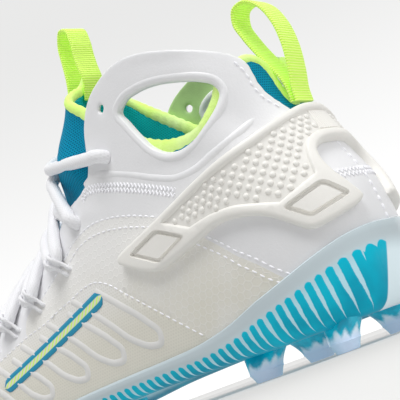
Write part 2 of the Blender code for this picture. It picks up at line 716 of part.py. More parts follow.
def add_insole():
    count = 31
    u = both_sides(count)
    lift = -UPPER_WALL - CLEARANCE
    rings = [
        ring_at(u, 0.0, lift, FLOOR_DROP - 0.3),
        ring_at(u, 0.0, lift, FLOOR_DROP - 0.3 - INSOLE_THICK + 0.8),
        ring_at(u, 0.0, lift - 1.2, FLOOR_DROP - 0.3 - INSOLE_THICK),
    ]
    points, faces = stacked_rings(rings, count)
    return add_object("insole", points, faces, material("insole_foam", "grey", 0.9))


def tube(path, radius, sides):
    """Points and faces of a round tube along a path, with flat ends."""
    along = np.gradient(path, axis=0)
    along /= np.linalg.norm(along, axis=1, keepdims=True)
    helper = np.array([0.0, 0.0, 1.0])
    across = np.cross(along, helper)
    across /= np.linalg.norm(across, axis=1, keepdims=True)
    over = np.cross(across, along)
    turn = np.linspace(0, 2 * np.pi, sides, endpoint=False)
    rings = []
    for place, a, o in zip(path, across, over):
        rings.append(place + radius * (np.cos(turn)[:, None] * a + np.sin(turn)[:, None] * o))
    return tower(rings)


def lace_lift(flat):
    """Lift of a lace's middle that clears the tongue and the upper for a short way round each point."""
    highest = np.zeros(len(flat))
    for angle in np.radians(np.arange(0, 360, 45)):
        beside = flat + LACE_REACH * np.array((np.cos(angle), np.sin(angle)))
        beside[:, 1] = np.minimum(beside[:, 1], ridge_rise(beside[:, 0]))
        highest = np.maximum(highest, tongue_lift(beside))
    return highest + LACE_RADIUS + LACE_LIFT


def lace_bar(start, end, cross_u, side, count=7):
    """Lace from a row on one side, over the tongue, to a row on the other side."""
    path = []
    for row, half, order in ((start, side, 1), (end, -side, -1)):
        u0, v0 = row
        gap = float(ridge_rise(half * u0)) - v0
        t = np.linspace(0.0, 1.0, count)
        u = u0 + (cross_u - u0) * (1 - (1 - t) ** 1.5)
        v = ridge_rise(half * u) - gap * (1 - t)
        flat = np.stack([half * u, v], -1)
        path.append(wrap(flat[:, 0], v, lace_lift(flat))[::order])
    return np.concatenate([path[0], path[1][1:]])


def lace_rows():
    """Where the lace meets each row: just past an eyelet, or at the end of a lace loop."""
    rows = [(u + PAST_EYELET[0], v + PAST_EYELET[1]) for u, v, _ in EYELET_ROWS]
    rows += [(u + PAST_LOOP[0], v + LOOP_REACH + PAST_LOOP[1]) for u, v, _ in LOOP_ROWS]
    return np.array(rows)


def add_laces():
    rows = lace_rows()
    crossings = [row[2] for row in EYELET_ROWS + LOOP_ROWS]
    for k in range(len(rows) - 1):
        name = "lace_crossing_%d" % (k + 1)
        look = material(name + "_cord", "white", 0.8)
        start = rows[k] + (LACE_APART / 2 if k else 0.0, 0.0)
        end = rows[k + 1] - (LACE_APART / 2, 0.0)
        bars = [tube(lace_bar(start, end, crossings[k], side), LACE_RADIUS, 5) for side in (1, -1)]
        over = add_object(name, *bars[0], look)
        under = add_object(name + "_under", *bars[1], look)
        join(over, under, "UNION")


def add_lace_loops():
    """Cord loop of each lower lace row, lying on the upper with its end raised for the lace."""
    for k, (u, v, _) in enumerate(LOOP_ROWS):
        for side, label in ((1, "lateral"), (-1, "medial")):
            half = LOOP_WIDTH / 2
            bend = np.linspace(0, np.pi, 5)
            leg = np.linspace(0, LOOP_REACH - half, 3)
            across = np.concatenate([np.full(2, -half), -half * np.cos(bend), np.full(2, half)])
            reach = np.concatenate([leg[:2], leg[-1] + half * np.sin(bend), leg[1::-1]])
            lift = CLEARANCE + LOOP_CORD + 1.6 * ease(reach / LOOP_REACH)
            path = wrap(side * (u + across), v + reach, lift)
            points, faces = tube(path, LOOP_CORD, 5)
            name = "lace_loop_%s_%d" % (label, k + 1)
            add_object(name, points, faces, material(name + "_cord", "white", 0.7))


def add_webbing(name, path, middle_y):
    """Flat webbing bent along a path in the plane of the shoe's middle."""
    line = smooth_line(path, 4.0)
    along = np.gradient(line, axis=0)
    along /= np.linalg.norm(along, axis=1, keepdims=True)
    normal = np.stack([-along[:, 1], along[:, 0]], -1)
    rings = []
    for place, out in zip(line, normal):
        corners = []
        for side, face in ((-1, -1), (1, -1), (1, 1), (-1, 1)):
            x, z = place + face * WEBBING_THICK / 2 * out
            corners.append((x, middle_y + side * WEBBING_WIDE / 2, z))
        rings.append(np.array(corners))
    points, faces = tower(rings)
    return add_object(name, points, faces, material(name + "_web", "volt", 0.75))


for old in list(bpy.data.objects):
    bpy.data.objects.remove(old, do_unlink=True)
SHOE = bpy.data.objects.new("shoe", None)
SHOE.location = (-ORIGIN_X * MM, -ORIGIN_Y * MM, 0.0)
bpy.context.scene.collection.objects.link(SHOE)
add_sole()
add_upper()
add_insole()
add_sleeve()
add_heel_strap()
add_laces()
add_lace_loops()
add_webbing("heel_pull_loop", HEEL_PULL, 0.0)
add_webbing("tongue_pull_loop", TONGUE_PULL, 0.6)
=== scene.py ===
"""Visual model of a left mid-cut lacrosse cleat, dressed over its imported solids.

A pattern place has a girth u, measured round the foot from the back of the heel (plus is lateral,
minus is medial), and a rise v, measured up the wall from the feather edge, both in millimetres.
The patterns are wrapped on the same last as the solids, so every piece lies where its solid is.
"""

import math

import bmesh
import bpy
import numpy as np
from mathutils import Matrix, Vector
from mathutils.geometry import delaunay_2d_cdt
from mathutils.kdtree import KDTree


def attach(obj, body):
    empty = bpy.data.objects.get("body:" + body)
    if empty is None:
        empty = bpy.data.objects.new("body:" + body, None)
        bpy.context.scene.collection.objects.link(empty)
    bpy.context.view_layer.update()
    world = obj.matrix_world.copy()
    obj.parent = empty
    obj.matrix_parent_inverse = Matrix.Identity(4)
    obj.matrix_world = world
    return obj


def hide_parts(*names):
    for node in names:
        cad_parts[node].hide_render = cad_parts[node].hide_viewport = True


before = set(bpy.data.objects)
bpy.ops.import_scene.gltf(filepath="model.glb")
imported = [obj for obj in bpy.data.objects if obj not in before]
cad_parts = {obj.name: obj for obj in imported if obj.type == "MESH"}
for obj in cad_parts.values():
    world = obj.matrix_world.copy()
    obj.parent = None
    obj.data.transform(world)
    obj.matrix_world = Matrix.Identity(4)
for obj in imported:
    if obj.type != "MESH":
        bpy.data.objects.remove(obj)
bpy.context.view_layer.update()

bl_info = {
    "name": "Lacrosse cleat",
    "version": (1, 0, 0),
    "blender": (4, 5, 0),
    "location": "3D View > Sidebar > Cleat",
    "description": "Dresses the packed solids of a mid-cut lacrosse cleat",
    "category": "Object",
}

MM = 0.001
VOLT_GLOW = 0.14
ORIGIN = np.array((142.05, 1.0, 0.0))

# Wall thicknesses and clearances of the solids
UPPER_WALL = 2.0
UPPER_EDGE_ROUND = 0.85
CLEARANCE = 0.5
SLEEVE_CLEARANCE = 0.85
SLEEVE_WALL = 2.6
TONGUE_PAD = 3.6
TONGUE_RISE = 4.4
TONGUE_TOP_RISE = 4.4
TONGUE_LEAN = 2.2
RIM_WALL = 1.7
STRAP_RIM = 3.4
STRAP_FIELD = 2.3
STRAP_GROOVE = 1.7
STRAP_PLATE = 2.9

# The last: half widths, ridge and feather edge at each distance from the heel
LAST_COLUMNS = ("x", "lateral", "medial", "ridge_y", "ridge_h", "feather_z", "round")
LAST = np.array([
    (38, 31.0, 28.8, 0.0, 270.0, 16.0, 0.72),
    (70, 31.5, 27.4, 0.0, 245.0, 17.0, 0.78),
    (100, 33.5, 26.5, 0.5, 152.0, 17.5, 0.97),
    (115, 35.0, 27.0, 0.6, 115.0, 17.3, 1.09),
    (130, 37.0, 28.0, 0.6, 91.5, 17.0, 1.12),
    (160, 42.0, 33.0, 0.2, 69.0, 15.5, 1.04),
    (190, 46.5, 40.0, -1.2, 57.0, 14.0, 0.90),
    (215, 46.0, 45.0, -3.2, 49.5, 14.0, 0.75),
    (238, 40.5, 44.0, -5.5, 46.0, 15.5, 0.62),
])
HEEL_X = 38.0
TOE_X = 238.0
TOE_LENGTH = 48.0
TOE_TIP_Y = -12.0
TOE_SPRING = 7.0
TOE_SQUARENESS = 2.3
FOREFOOT_SWELL = 3.0

# How far the heel's back and sides bulge from an upright wall, and how square its plan is, by height
HEEL_COLUMNS = ("height", "back", "side", "square")
HEEL_CURVE = np.array([
    (0, 0.0, 0.0, 2.2),
    (10, 1.5, 1.5, 2.18),
    (22, 2.6, 2.8, 2.12),
    (38, 1.2, 2.8, 2.02),
    (55, -5.0, 1.6, 1.9),
    (70, -10.0, 0.8, 1.8),
    (90, -11.4, 0.4, 1.8),
    (115, -10.5, 0.5, 1.85),
    (270, -6.0, 0.0, 2.2),
])

# Girth of the heel's and toe's quarter rounds, and of half the shoe
HEEL_GIRTH = 52.0
TOE_GIRTH = 62.0
SIDE_GIRTH = TOE_X - HEEL_X
HALF_GIRTH = HEEL_GIRTH + SIDE_GIRTH + TOE_GIRTH

# The throat: girth, and distance of its edge from the ridge
THROAT = np.array([
    (218.5, 0.0), (217.0, 6.0), (213.0, 12.0), (206.0, 17.0), (194.0, 21.0), (178.0, 23.5), (162.0, 24.5),
])
THROAT_END_GAP = 26.0

# The upper's edge from the throat round the ankle wing to the back of the heel: u, v
WING_EDGE = (
    (150, 76.5), (140, 77.8), (130, 77.5), (121, 77.5), (114, 80.5), (111, 86), (110.2, 92), (108.2, 100.5),
    (104.2, 106.2), (99, 110), (91, 113.2), (82.5, 115), (74, 114.6), (66, 112.6), (54, 107.6), (45, 103.4),
    (36, 99), (29, 95.4), (25.4, 92.4), (24.2, 88), (23.6, 83.5), (21.4, 79), (17.2, 75), (12, 70.6),
    (6, 67.6), (0, 67),
)
ANKLE_HOLE = (
    (85.6, 97.2), (81.5, 99.8), (74, 100.2), (64, 98.4), (53, 94.4), (44, 90.6), (39.8, 87.6), (38.6, 84),
    (40.6, 80.4), (45, 76.4), (51, 73), (57.5, 71.3), (63.5, 71.2), (69.5, 73.2), (75, 77.8), (79.4, 84.6),
    (83.2, 92),
)
EYELETS = ((93.9, 102.7, 1.7), (98.6, 83.8, 2.4), (126.8, 67.0, 2.4))

# Zones of the upper: the hexagon film over the quarter, the mesh film in front of it, and their common border
FILM_BORDER = (
    (74, -4), (80, 5.6), (87, 12.4), (95, 19.8), (102, 26), (109, 32), (117, 38.6), (123, 41.2), (131, 41.4),
    (139, 39.8), (147, 38.6), (158, 36.5), (170, 35.5),
)
QUARTER_FILM = (
    (36, -4), (39, 10), (43, 15.4), (48, 22.2), (54, 29), (62, 36.5), (74, 47), (86, 54), (94, 57.2),
    (106, 60.8), (115, 62.2), (124, 62), (132, 60.6), (138, 57.5), (147, 53), (158, 48), (170, 44),
    *FILM_BORDER[::-1],
)
MESH_FILM = (*FILM_BORDER, (184, 33), (200, 30), (216, 27), (231, 22.5), (241, 16), (247, 8), (250, -4))

# Sewn lines on each side of the upper: u, v
DASHED_SEAMS = (
    ((84, 53.4), (94, 57.6), (106, 61.2), (115, 62.7), (124, 62.5), (132, 61), (138, 58), (147, 53.6),
     (156, 49.4)),
    ((87, 50.4), (101, 55.2), (111, 57.4), (123, 58.2), (132, 56.4), (138, 53.4)),
    ((81, 6.4), (87, 12), (95, 19.4), (102, 25.6), (109, 31.6), (117, 38.1), (123, 40.7), (131, 40.9),
     (139, 39.3), (147, 38.1), (158, 36), (170, 35), (184, 32.5), (200, 29.5), (216, 26.5), (230, 22),
     (240, 15.6)),
    ((63, 38.6), (54, 31), (47.6, 24), (42.6, 17.4), (38, 12.6)),
    ((66.5, 36), (57, 28.4), (50.4, 21.4), (45.4, 14.8), (41.4, 11)),
)
EDGE_SEAMS = (((29.6, 92), (27.4, 88), (26.8, 83.5), (24.6, 78), (20, 73.6)),)
ZIGZAG_SEAMS = (
    ((119.6, 74.6), (116, 76), (110, 75.2), (103, 72.8), (96, 70), (83, 64), (70, 57.4)),
    ((14.6, 40.6), (10, 40.4), (5, 40.2), (0, 40.2)),
)
HEEL_SEAM = ((0.2, 53.4), (0.2, 44), (0.2, 36), (0.2, 28), (0.2, 22.4))
ZIGZAG_SWAY = 0.75
ZIGZAG_THREAD = {"Radius": 0.00034, "Sides": 6}

# Raised beads on each side of the upper: u, v
WING_RIDGE = (
    (116.5, 79.6), (111, 80.4), (105, 79.4), (100, 77.4), (89, 72.4), (77, 66), (68, 62.4), (59, 61.6),
    (48, 63.8), (37, 67.4), (29, 71.2),
)
FINGER = (
    (26, 29), (15, 19.5), (5, 10), (0.8, 3.8), (2.2, 0.4), (6.6, 0.4), (14, 4.6), (23, 14), (33, 23.5),
    (41, 30.2),
)
FINGER_PLACES = (
    (98, 8.5, 1.0), (119, 8.0, 0.92), (140, 7.6, 0.84), (161, 7.2, 0.76), (182, 6.8, 0.68), (202, 6.4, 0.58),
)

# Sizes of the beads in metres, and lifts of their middles off the skin
HOLE_RIM_BEAD = {"Radius": 0.0022, "Sides": 24}
WING_BEAD = {"Radius": 0.0024, "Sides": 24}
FINGER_BEAD = {"Radius": 0.0030, "Sides": 32}
STRAP_RIB_BEAD = {"Radius": 0.00052, "Sides": 8}
HOLE_RIM_LIFT = -2.0
WING_BEAD_LIFT = -2.15
WING_BEAD_SINK = 0.4
FINGER_LIFT = -2.65

# Soft folds of the upper: u, v, half length, half width, turn in degrees, depth
SOFT_FOLDS = (
    (232, 46, 26, 4.2, 78, -0.9),
    (241, 44, 24, 4.0, 82, 0.5),
    (251, 43, 24, 4.4, 84, -0.7),
    (104, 92, 16, 5.0, 84, -0.5),
    (62, 66, 20, 3.6, 14, -0.5),
    (38, 74, 14, 4.4, 62, -0.6),
    (52, 103, 22, 3.0, 20, -0.35),
    (140, 68, 13, 4.6, -30, -0.5),
    (168, 52, 12, 4.2, -28, -0.5),
    (118, 68, 12, 3.2, 24, 0.3),
)

# The knitted sleeve: its top edge from the heel to the tongue's peak, u, v
SLEEVE_TOP = (
    (0, 76.5), (4.5, 77), (8, 81.5), (10.8, 88), (14.5, 92.6), (20, 94.6), (26, 94), (32, 91.6), (37.6, 87.4),
    (41.4, 82), (46, 78), (52, 75), (60, 74), (68, 75), (76, 78.2), (84, 83.5), (92, 90), (100, 97.5),
    (106, 103.5), (111.5, 109.5), (117, 116.5), (121.5, 124.5), (123.5, 131),
)
TONGUE_PEAK_U = 122.0
SLEEVE_FOOT = 5.0
SLEEVE_FRONT_U = 226.0

# The sleeve's bound edge: half its width, extra width at the tongue and in the ankle's dip, and its lumps
BINDING_HALF = 2.1
BINDING_TOP = 0.2
BINDING_DIP = 0.9
BINDING_PLUMP = 0.55
LUMP_PITCH = 4.2
FINE_LUMP_PITCH = 1.9

# The heel strap's half outline: along the top to the tip and back along the foot to the tab, u, v
STRAP_TOP = (
    (0, 72), (6, 72), (12, 71.2), (20, 68.9), (28, 66), (36, 63), (44, 60.6), (52, 58.6), (61, 56.4),
    (71, 53.6), (85, 49.8), (101, 45.8),
)
STRAP_TIP = ((101, 45.8), (104, 44.6), (105, 43), (104.6, 41.4))
STRAP_FOOT = (
    (104.6, 41.4), (92, 34.6), (88, 33.3), (84.5, 33.5), (68, 36.4), (56, 39), (51, 39.2), (46.5, 38.2),
    (41, 35.9), (35.5, 31.4), (32, 27.6), (29, 25.2), (25.5, 24.8),
)
STRAP_TAB = ((25.5, 24.8), (18, 26.4), (11, 28.6), (9.4, 29.8), (9.8, 31.6))
STRAP_NOTCH = (
    (9.8, 31.6), (13, 37), (15.6, 42), (16.6, 47), (15.8, 51), (13.4, 53.2), (9.8, 54.4), (5, 54.7),
    (0, 54.7),
)

# The strap's sunk field, half of it, and the frames of its plates
FIELD_TOP = ((0, 68.4), (6, 68.4), (12, 67.6), (20, 65.3), (36, 59.4), (52, 55.2), (68, 51), (77.4, 48.4))
FIELD_TIP = ((77.4, 48.4), (66, 42.4))
FIELD_FOOT = ((66, 42.4), (60, 43), (53, 43.2), (47, 42.4), (40, 39.6), (34, 36.8))
FIELD_CORNER = ((34, 36.8), (21.4, 41.8))
FIELD_NOTCH = ((21.4, 41.8), (20.8, 48), (19, 53.4), (15.4, 56.8), (9, 58.4), (0, 58.6))
STRAP_HALF = (STRAP_TOP, STRAP_TIP, STRAP_FOOT, STRAP_TAB, STRAP_NOTCH)
FIELD_HALF = (FIELD_TOP, FIELD_TIP, FIELD_FOOT, FIELD_CORNER, FIELD_NOTCH)
STRAP_WINDOWS = (
    ((98, 42.9), (82, 47.4), (68.4, 40.4), (84.6, 35.4)),
    ((34.2, 34.8), (20.4, 39.2), (13.4, 31.8), (27.6, 28.2)),
)
WINDOW_ROUND = 2.2
GROOVE_SIDES = ((-0.2, 0.2), (1.1, 1.55))
STRAP_ROUND = 1.5
FIELD_CHAMFER = 0.35
DOT_START = (44.5, 57.0)
DOT_STEPS = ((0.75, 0.66), (-0.48, 0.80))
RIBS_HALF = 8.2
RIB_PITCH = 1.3
RIB_RISES = (59.2, 67.8)

# The sole plate: rim height on the upper, by girth
RIM = np.array([
    (0, 20.6), (12, 20.6), (22, 19.2), (32, 16.4), (42, 13.0), (52, 9.9), (67, 5.6), (83, 2.9), (100, 1.9),
    (130, 1.6), (200, 1.8), (252, 3.5), (285, 6.5), (314, 8.0),
])
FLOOR_DROP = 0.6
PLATE_EDGE_DROP = 7.2
PLATE_MIDDLE_DROP = 4.6
RIM_OUT = CLEARANCE + RIM_WALL
PLATE_POSTS = 181
PLATE_LEVELS = 41

# Rings of the plate's outside from below: share of the rim's rise, lift, drop, pull inward
PLATE_OUTSIDE = (
    (0.0, 0.0, PLATE_MIDDLE_DROP, 12.0),
    (0.0, 0.0, PLATE_EDGE_DROP, 5.5),
    (0.0, 0.0, PLATE_EDGE_DROP - 1.2, 0.6),
    (0.0, RIM_OUT - 0.2, 1.5, 0.0),
    (0.5, RIM_OUT, 0.0, 0.0),
    (1.0, RIM_OUT - 0.5, 0.0, 0.0),
)

# Coloured bars in the plate: gap numbers by girth, the plain band above them, and the block at the heel
BAR_GAPS = np.array([
    (0, -3.4), (16.5, 0), (21.5, 1), (26.5, 2), (30.5, 3), (34, 4), (41, 6), (51, 9), (59, 11), (68, 13),
    (85, 17), (110, 23), (314, 73),
])
BAR_BAND = np.array([(0, 6.2), (30, 5.6), (65, 4.6), (110, 3.6), (314, 3.0)])
BLOCK_EDGE = 6.4
BLOCK_SLANT = 0.33

# Studs: place, length along the shoe, width, turn in degrees
STUD_COLUMNS = ("name", "x", "y", "length", "width", "turn")
STUDS = (
    ("heel_lateral", 18.5, 20.5, 13.0, 8.5, -28),
    ("heel_medial", 19.5, -19.0, 13.0, 8.5, 28),
    ("waist_lateral", 54.0, 20.5, 13.0, 8.5, 0),
    ("waist_medial", 56.5, -17.0, 13.0, 8.5, 0),
    ("ball_lateral_rear", 166.0, 31.0, 13.0, 8.5, 6),
    ("ball_lateral", 194.0, 35.5, 13.0, 8.5, 0),
    ("ball_lateral_front", 222.0, 32.5, 13.0, 8.5, -12),
    ("ball_medial_rear", 171.0, -22.5, 13.0, 8.5, -10),
    ("ball_medial", 200.0, -31.5, 13.0, 8.5, -6),
    ("ball_medial_front", 229.0, -34.5, 13.0, 8.5, 6),
    ("toe_lateral", 251.0, 12.0, 11.0, 8.0, -30),
    ("toe_medial", 257.0, -23.0, 11.0, 8.0, 16),
)
TIP_HEIGHT = 3.6
STUD_TOP = 12.4
STUD_FLARE = 1.6
STUD_LEAN_IN = 5.0
CLEAR_GLOW = 0.18
STUD_SIDES = 44
STUD_NECK = 1.04
STUD_SINK = 0.3

# Rings of a stud tip: height, and share of the stud's section
TIP_RINGS = (
    (0.0, 0.73), (0.12, 0.77), (0.5, 0.81), (1.0, 0.84), (2.0, 0.92), (3.0, 1.0), (TIP_HEIGHT - 0.25, 1.06),
    (TIP_HEIGHT, 1.05),
)

# The lace: its distances from what it lies on, and its lifts where two bars cross
LACE_REACH = 5.0
LACE_APART = 6.0
TURN_REACH = 2.4
LACE_LIFT = 0.7
LACE_BOW = 0.5
OVER_LIFT = 0.6
UNDER_LIFT = -3.0
CREST_SHARES = np.array((0.4, 0.8, 1.0))
CREST_REACH = 18.0
EYELET_REACH = (0.0, 0.2, 1.9)
EYELET_LIFT = np.array((-4.0, -0.4, 2.3))

# Lace rows from the top: girth, rise, girth where the crossing below it meets the ridge
EYELET_ROWS = ((98.6, 83.8, 139.0), (126.8, 67.0, 151.0))
LOOP_ROWS = (
    (142.0, 46.0, 164.0),
    (163.0, 38.5, 179.0),
    (181.0, 34.5, 193.0),
    (196.0, 31.0, 205.0),
    (208.5, 27.5, 212.0),
)
LACE_ROWS = EYELET_ROWS + LOOP_ROWS
LAST_ROW = len(LACE_ROWS) - 1

# Lace loops: the way they lean, the way across them, and their sizes
LOOP_LEAN = np.array((-0.6, -0.8))
LOOP_BESIDE = np.array((0.8, -0.6))
LOOP_LENGTH = 9.6
LOOP_REACH = 9.5
LOOP_HALF = 1.5

# Pull loops of webbing, in the plane of the shoe's middle: x, z
WEBBING_WIDE = 11.0
WEBBING_THICK = 1.3
HEEL_PULL = (
    (10.6, 88), (10.4, 92.5), (8.6, 100), (7.2, 110), (8, 119.5), (11.6, 127.8), (17, 132), (21.6, 131.5),
    (23.6, 127), (22, 119.5), (18.6, 110.5), (15, 102.5), (12.9, 96.5), (12.5, 92), (12.6, 88.6),
)
TONGUE_PULL = (
    (121.4, 138), (119.6, 142.4), (118.2, 147.4), (117.5, 153), (117.4, 160), (117, 168), (113.6, 173),
    (109, 171.2), (107.2, 165), (107.2, 158), (106.6, 152.5), (106, 148), (107.4, 143), (109.2, 138.3),
)
TONGUE_PULL_TURN = 9.0
TONGUE_PULL_LEAN = 3.4

# A plain two-colour bar on the outer side: its middle line, u, v
SIDE_BAR = ((121, 34.6), (142, 29.4), (164, 24.2), (187, 19.2))
SIDE_BAR_HALF = 3.4
SIDE_CORE_HALF = 1.2
SIDE_BAR_SPREAD = np.array((-1.0, -0.92, -0.6, -0.3, 0.0, 0.3, 0.6, 0.92, 1.0))
SIDE_BAR_LIFT = (0.05, 0.3, 0.35, 0.35, 0.35, 0.35, 0.35, 0.3, 0.05)
SIDE_BAR_ROOT = -0.6

# The camera, fitted to the photo's frame of 400 by 400 pixels from just above the floor
CAMERA_PLACE = (-0.29265, 0.2685, 0.0040)
CAMERA_AZIMUTH = 219.64
CAMERA_ELEVATION = -11.5
CAMERA_ROLL = -20.31
CAMERA_FOCUS_PIXELS = 890.4
PHOTO_PIXELS = 400
SENSOR_WIDTH = 36.0

# The stage: floor, backdrop, sky, and the lights as place, size and power
STAGE_RADIUS = 1.3
STAGE_LEVEL = -0.0002
FLOOR_SIDES = 96
FLOOR_NUMBERS = {
    "Specular IOR Level": 0.2, "Emission Color": (0.9, 0.9, 0.895, 1.0), "Emission Strength": 0.26,
}
BACKDROP_MIDDLE = -50.0
BACKDROP_HALF_TURN = 1.25
BACKDROP_POSTS = 49
BACKDROP_HEIGHT = 1.7
BACKDROP_FOOT = (1.08, 1.08, 1.077, 1.0)
BACKDROP_TOP = (0.82, 0.82, 0.815, 1.0)
SKY_COLOUR = (1.0, 1.0, 0.995, 1.0)
SKY_STRENGTH = 0.36
LIGHTS = {"key": ((-0.3, 0.5, 1.6), 1.0, 20.0), "back": ((-1.3, -0.2, 0.9), 0.9, 5.5)}
LIGHT_AIM = Vector((-0.05, 0.0, 0.06))

# Plain numbers of the shaders that several finishes share
FILM_NUMBERS = {"Coat Weight": 0.35, "Coat Roughness": 0.22}
CLEAR_NUMBERS = {"Coat Weight": 0.5, "Coat Roughness": 0.1, "Emission Strength": CLEAR_GLOW}
VOLT_NUMBERS = {"Sheen Roughness": 0.4, "Emission Strength": VOLT_GLOW}

# Painted patterns: rise where the films' colour starts to change, flames round a stud, pitches of the cloths
FILM_LOW_RISE = 14.0
STUD_FLAMES = 9
TWILL_PITCH = 0.7
INSOLE_PITCH = 1.2


def screen_colour(red, green, blue):
    """Scene colour of a screen colour given from 0 to 255."""
    shares = (red / 255, green / 255, blue / 255)
    return tuple(s / 12.92 if s <= 0.04045 else ((s + 0.055) / 1.055) ** 2.4 for s in shares)


def size_property(name, description, default):
    return bpy.props.FloatProperty(
        name=name, description=description, default=default, min=0.0, precision=5, subtype="DISTANCE",
        unit="LENGTH",
    )


def colour_property(name, description, red, green, blue):
    return bpy.props.FloatVectorProperty(
        name=name, description=description, default=screen_colour(red, green, blue), size=3, min=0.0, max=1.0,
        subtype="COLOR",
    )


class CleatSizes(bpy.types.PropertyGroup):
    """Sizes of the dressing that a user would change."""

    sheet_pitch: size_property("Sheet pitch", "Spacing of the points in a wrapped sheet", 0.0022)
    strap_pitch: size_property("Strap pitch", "Spacing of the points in the heel strap", 0.0014)
    lace_radius: size_property("Lace radius", "Half the thickness of the round lace", 0.0028)
    loop_radius: size_property("Loop radius", "Half the thickness of the lace loops' cord", 0.0008)
    stitch_step: size_property("Stitch step", "Distance from one stitch to the next", 0.0030)
    stitch_length: size_property("Stitch length", "Length of one stitch", 0.0021)
    stitch_width: size_property("Stitch width", "Width of one stitch", 0.0006)
    dot_pitch: size_property("Dot pitch", "Spacing of the strap's dots", 0.0031)
    dot_radius: size_property("Dot radius", "Half the width of a strap dot", 0.00118)
    hex_pitch: size_property("Hexagon pitch", "Width of a hexagon in the quarter film", 0.0031)
    mesh_pitch: size_property("Mesh pitch", "Spacing of the dots under the front film", 0.0013)
    knit_pitch: size_property("Knit pitch", "Spacing of the holes in the knit", 0.0011)
    web_pitch: size_property("Web pitch", "Spacing of the ribs in the webbing", 0.0010)


class CleatColours(bpy.types.PropertyGroup):
    """Colours of the dressing that a user would change."""

    skin: colour_property("Skin", "White skin of the upper", 238, 238, 240)
    film_top: colour_property("Film top", "Film where it lies close on the skin", 243, 242, 240)
    film_low: colour_property("Film low", "Film low on the side", 232, 229, 217)
    lining: colour_property("Lining", "Inside of the upper", 182, 214, 146)
    knit: colour_property("Knit", "Outside of the sleeve", 0, 146, 184)
    knit_shade: colour_property("Knit holes", "Holes in the knit", 0, 90, 128)
    knit_inside: colour_property("Knit inside", "Inside of the sleeve", 16, 196, 202)
    volt: colour_property("Yellow-green", "Webbing and bound edge", 218, 255, 122)
    # Painted shade between the webbing's ribs
    volt_shade: colour_property("Yellow-green shade", "Between the ribs of the webbing", 198, 250, 72)
    strap: colour_property("Strap", "Moulded heel strap", 240, 238, 233)
    bar: colour_property("Bars", "Coloured bars in the plate", 0, 192, 218)
    # Shaded copy of the bar colour, used as painted shade on the bars toward the plate's lower edge
    bar_deep: colour_property("Deep bars", "Bars seen through more of the plate", 0, 150, 180)
    frost: colour_property("Frosted rim", "Rim of the plate", 188, 200, 205)
    clear: colour_property("Clear plate", "Plate and studs where no bar lies", 222, 238, 244)
    tip: colour_property("Stud tips", "Tips of the studs", 198, 217, 241)
    cord: colour_property("Cord", "Lace and lace loops", 244, 244, 247)
    thread: colour_property("Thread", "Stitches", 248, 248, 253)
    insole: colour_property("Insole", "Cloth on the insole", 168, 172, 174)
    floor: colour_property("Floor", "Floor of the stage", 190, 190, 189)


def sizes():
    return bpy.context.scene.cleat_sizes


def colours():
    return bpy.context.scene.cleat_colours


def cubic(x, xs, ys):
    """Smooth curve through the points (xs, ys), read at x."""
    x = np.clip(np.asarray(x, float), xs[0], xs[-1])
    slope = np.gradient(ys, xs, axis=0)
    i = np.clip(np.searchsorted(xs, x, side="right") - 1, 0, len(xs) - 2)
    span = xs[i + 1] - xs[i]
    t = (x - xs[i]) / span
    rise = (2 * t**3 - 3 * t**2 + 1) * ys[i] + (3 * t**2 - 2 * t**3) * ys[i + 1]
    return rise + span * ((t**3 - 2 * t**2 + t) * slope[i] + (t**3 - t**2) * slope[i + 1])


def last_value(x, column):
    return cubic(x, LAST[:, 0], LAST[:, LAST_COLUMNS.index(column)])


def heel_value(height, column):
    return cubic(height, HEEL_CURVE[:, 0], HEEL_CURVE[:, HEEL_COLUMNS.index(column)])


def ease(t):
    t = np.clip(t, 0.0, 1.0)
    return t * t * (3 - 2 * t)


def last_point(u, angle):
    """Point of the last at girth u and section angle, 0 at the feather edge and 90 degrees at the ridge."""
    u, angle = np.broadcast_arrays(np.asarray(u, float), np.asarray(angle, float))
    along = np.abs(u)
    x = np.clip(HEEL_X + along - HEEL_GIRTH, HEEL_X, TOE_X)
    half = np.where(u >= 0, last_value(x, "lateral"), -last_value(x, "medial"))
    ridge_y = last_value(x, "ridge_y")
    heel_turn = np.radians(np.clip(90 * along / HEEL_GIRTH, 0, 90))
    toe_turn = np.radians(np.clip(90 * (HALF_GIRTH - along) / TOE_GIRTH, 0, 90))
    at_heel = along < HEEL_GIRTH
    at_toe = along > HEEL_GIRTH + SIDE_GIRTH
    height = last_value(x, "ridge_h") * np.sin(angle)
    h = 2 / heel_value(height, "square")
    t = 2 / TOE_SQUARENESS
    base_x = np.where(at_heel, HEEL_X * (1 - np.cos(heel_turn) ** h), x)
    base_x = np.where(at_toe, TOE_X + TOE_LENGTH * np.cos(toe_turn) ** t, base_x)
    toe_y = ridge_y + (half - ridge_y) * np.sin(toe_turn) ** t
    toe_y = toe_y + (TOE_TIP_Y - ridge_y) * np.cos(toe_turn) ** 1.5
    base_y = np.where(at_heel, half * np.sin(heel_turn) ** h, np.where(at_toe, toe_y, half))
    reach = np.hypot(base_x - x, base_y - ridge_y)
    back = np.where(at_heel, np.cos(heel_turn) ** 2, 0.0)
    rear = ease((150 - x) / 80)
    bulge = back * heel_value(height, "back") + (1 - back) * heel_value(height, "side")
    bulge = rear * bulge + (1 - rear) * FOREFOOT_SWELL * np.sin(2 * angle)
    closing = np.maximum(np.cos(angle), 0)
    share = closing ** last_value(x, "round") * (1 + bulge / reach)
    lift = np.where(at_toe, TOE_SPRING * np.cos(toe_turn) ** 2, 0.0) * closing
    z = last_value(x, "feather_z") + lift + height
    return np.stack([x + (base_x - x) * share, ridge_y + (base_y - ridge_y) * share, z], -1)


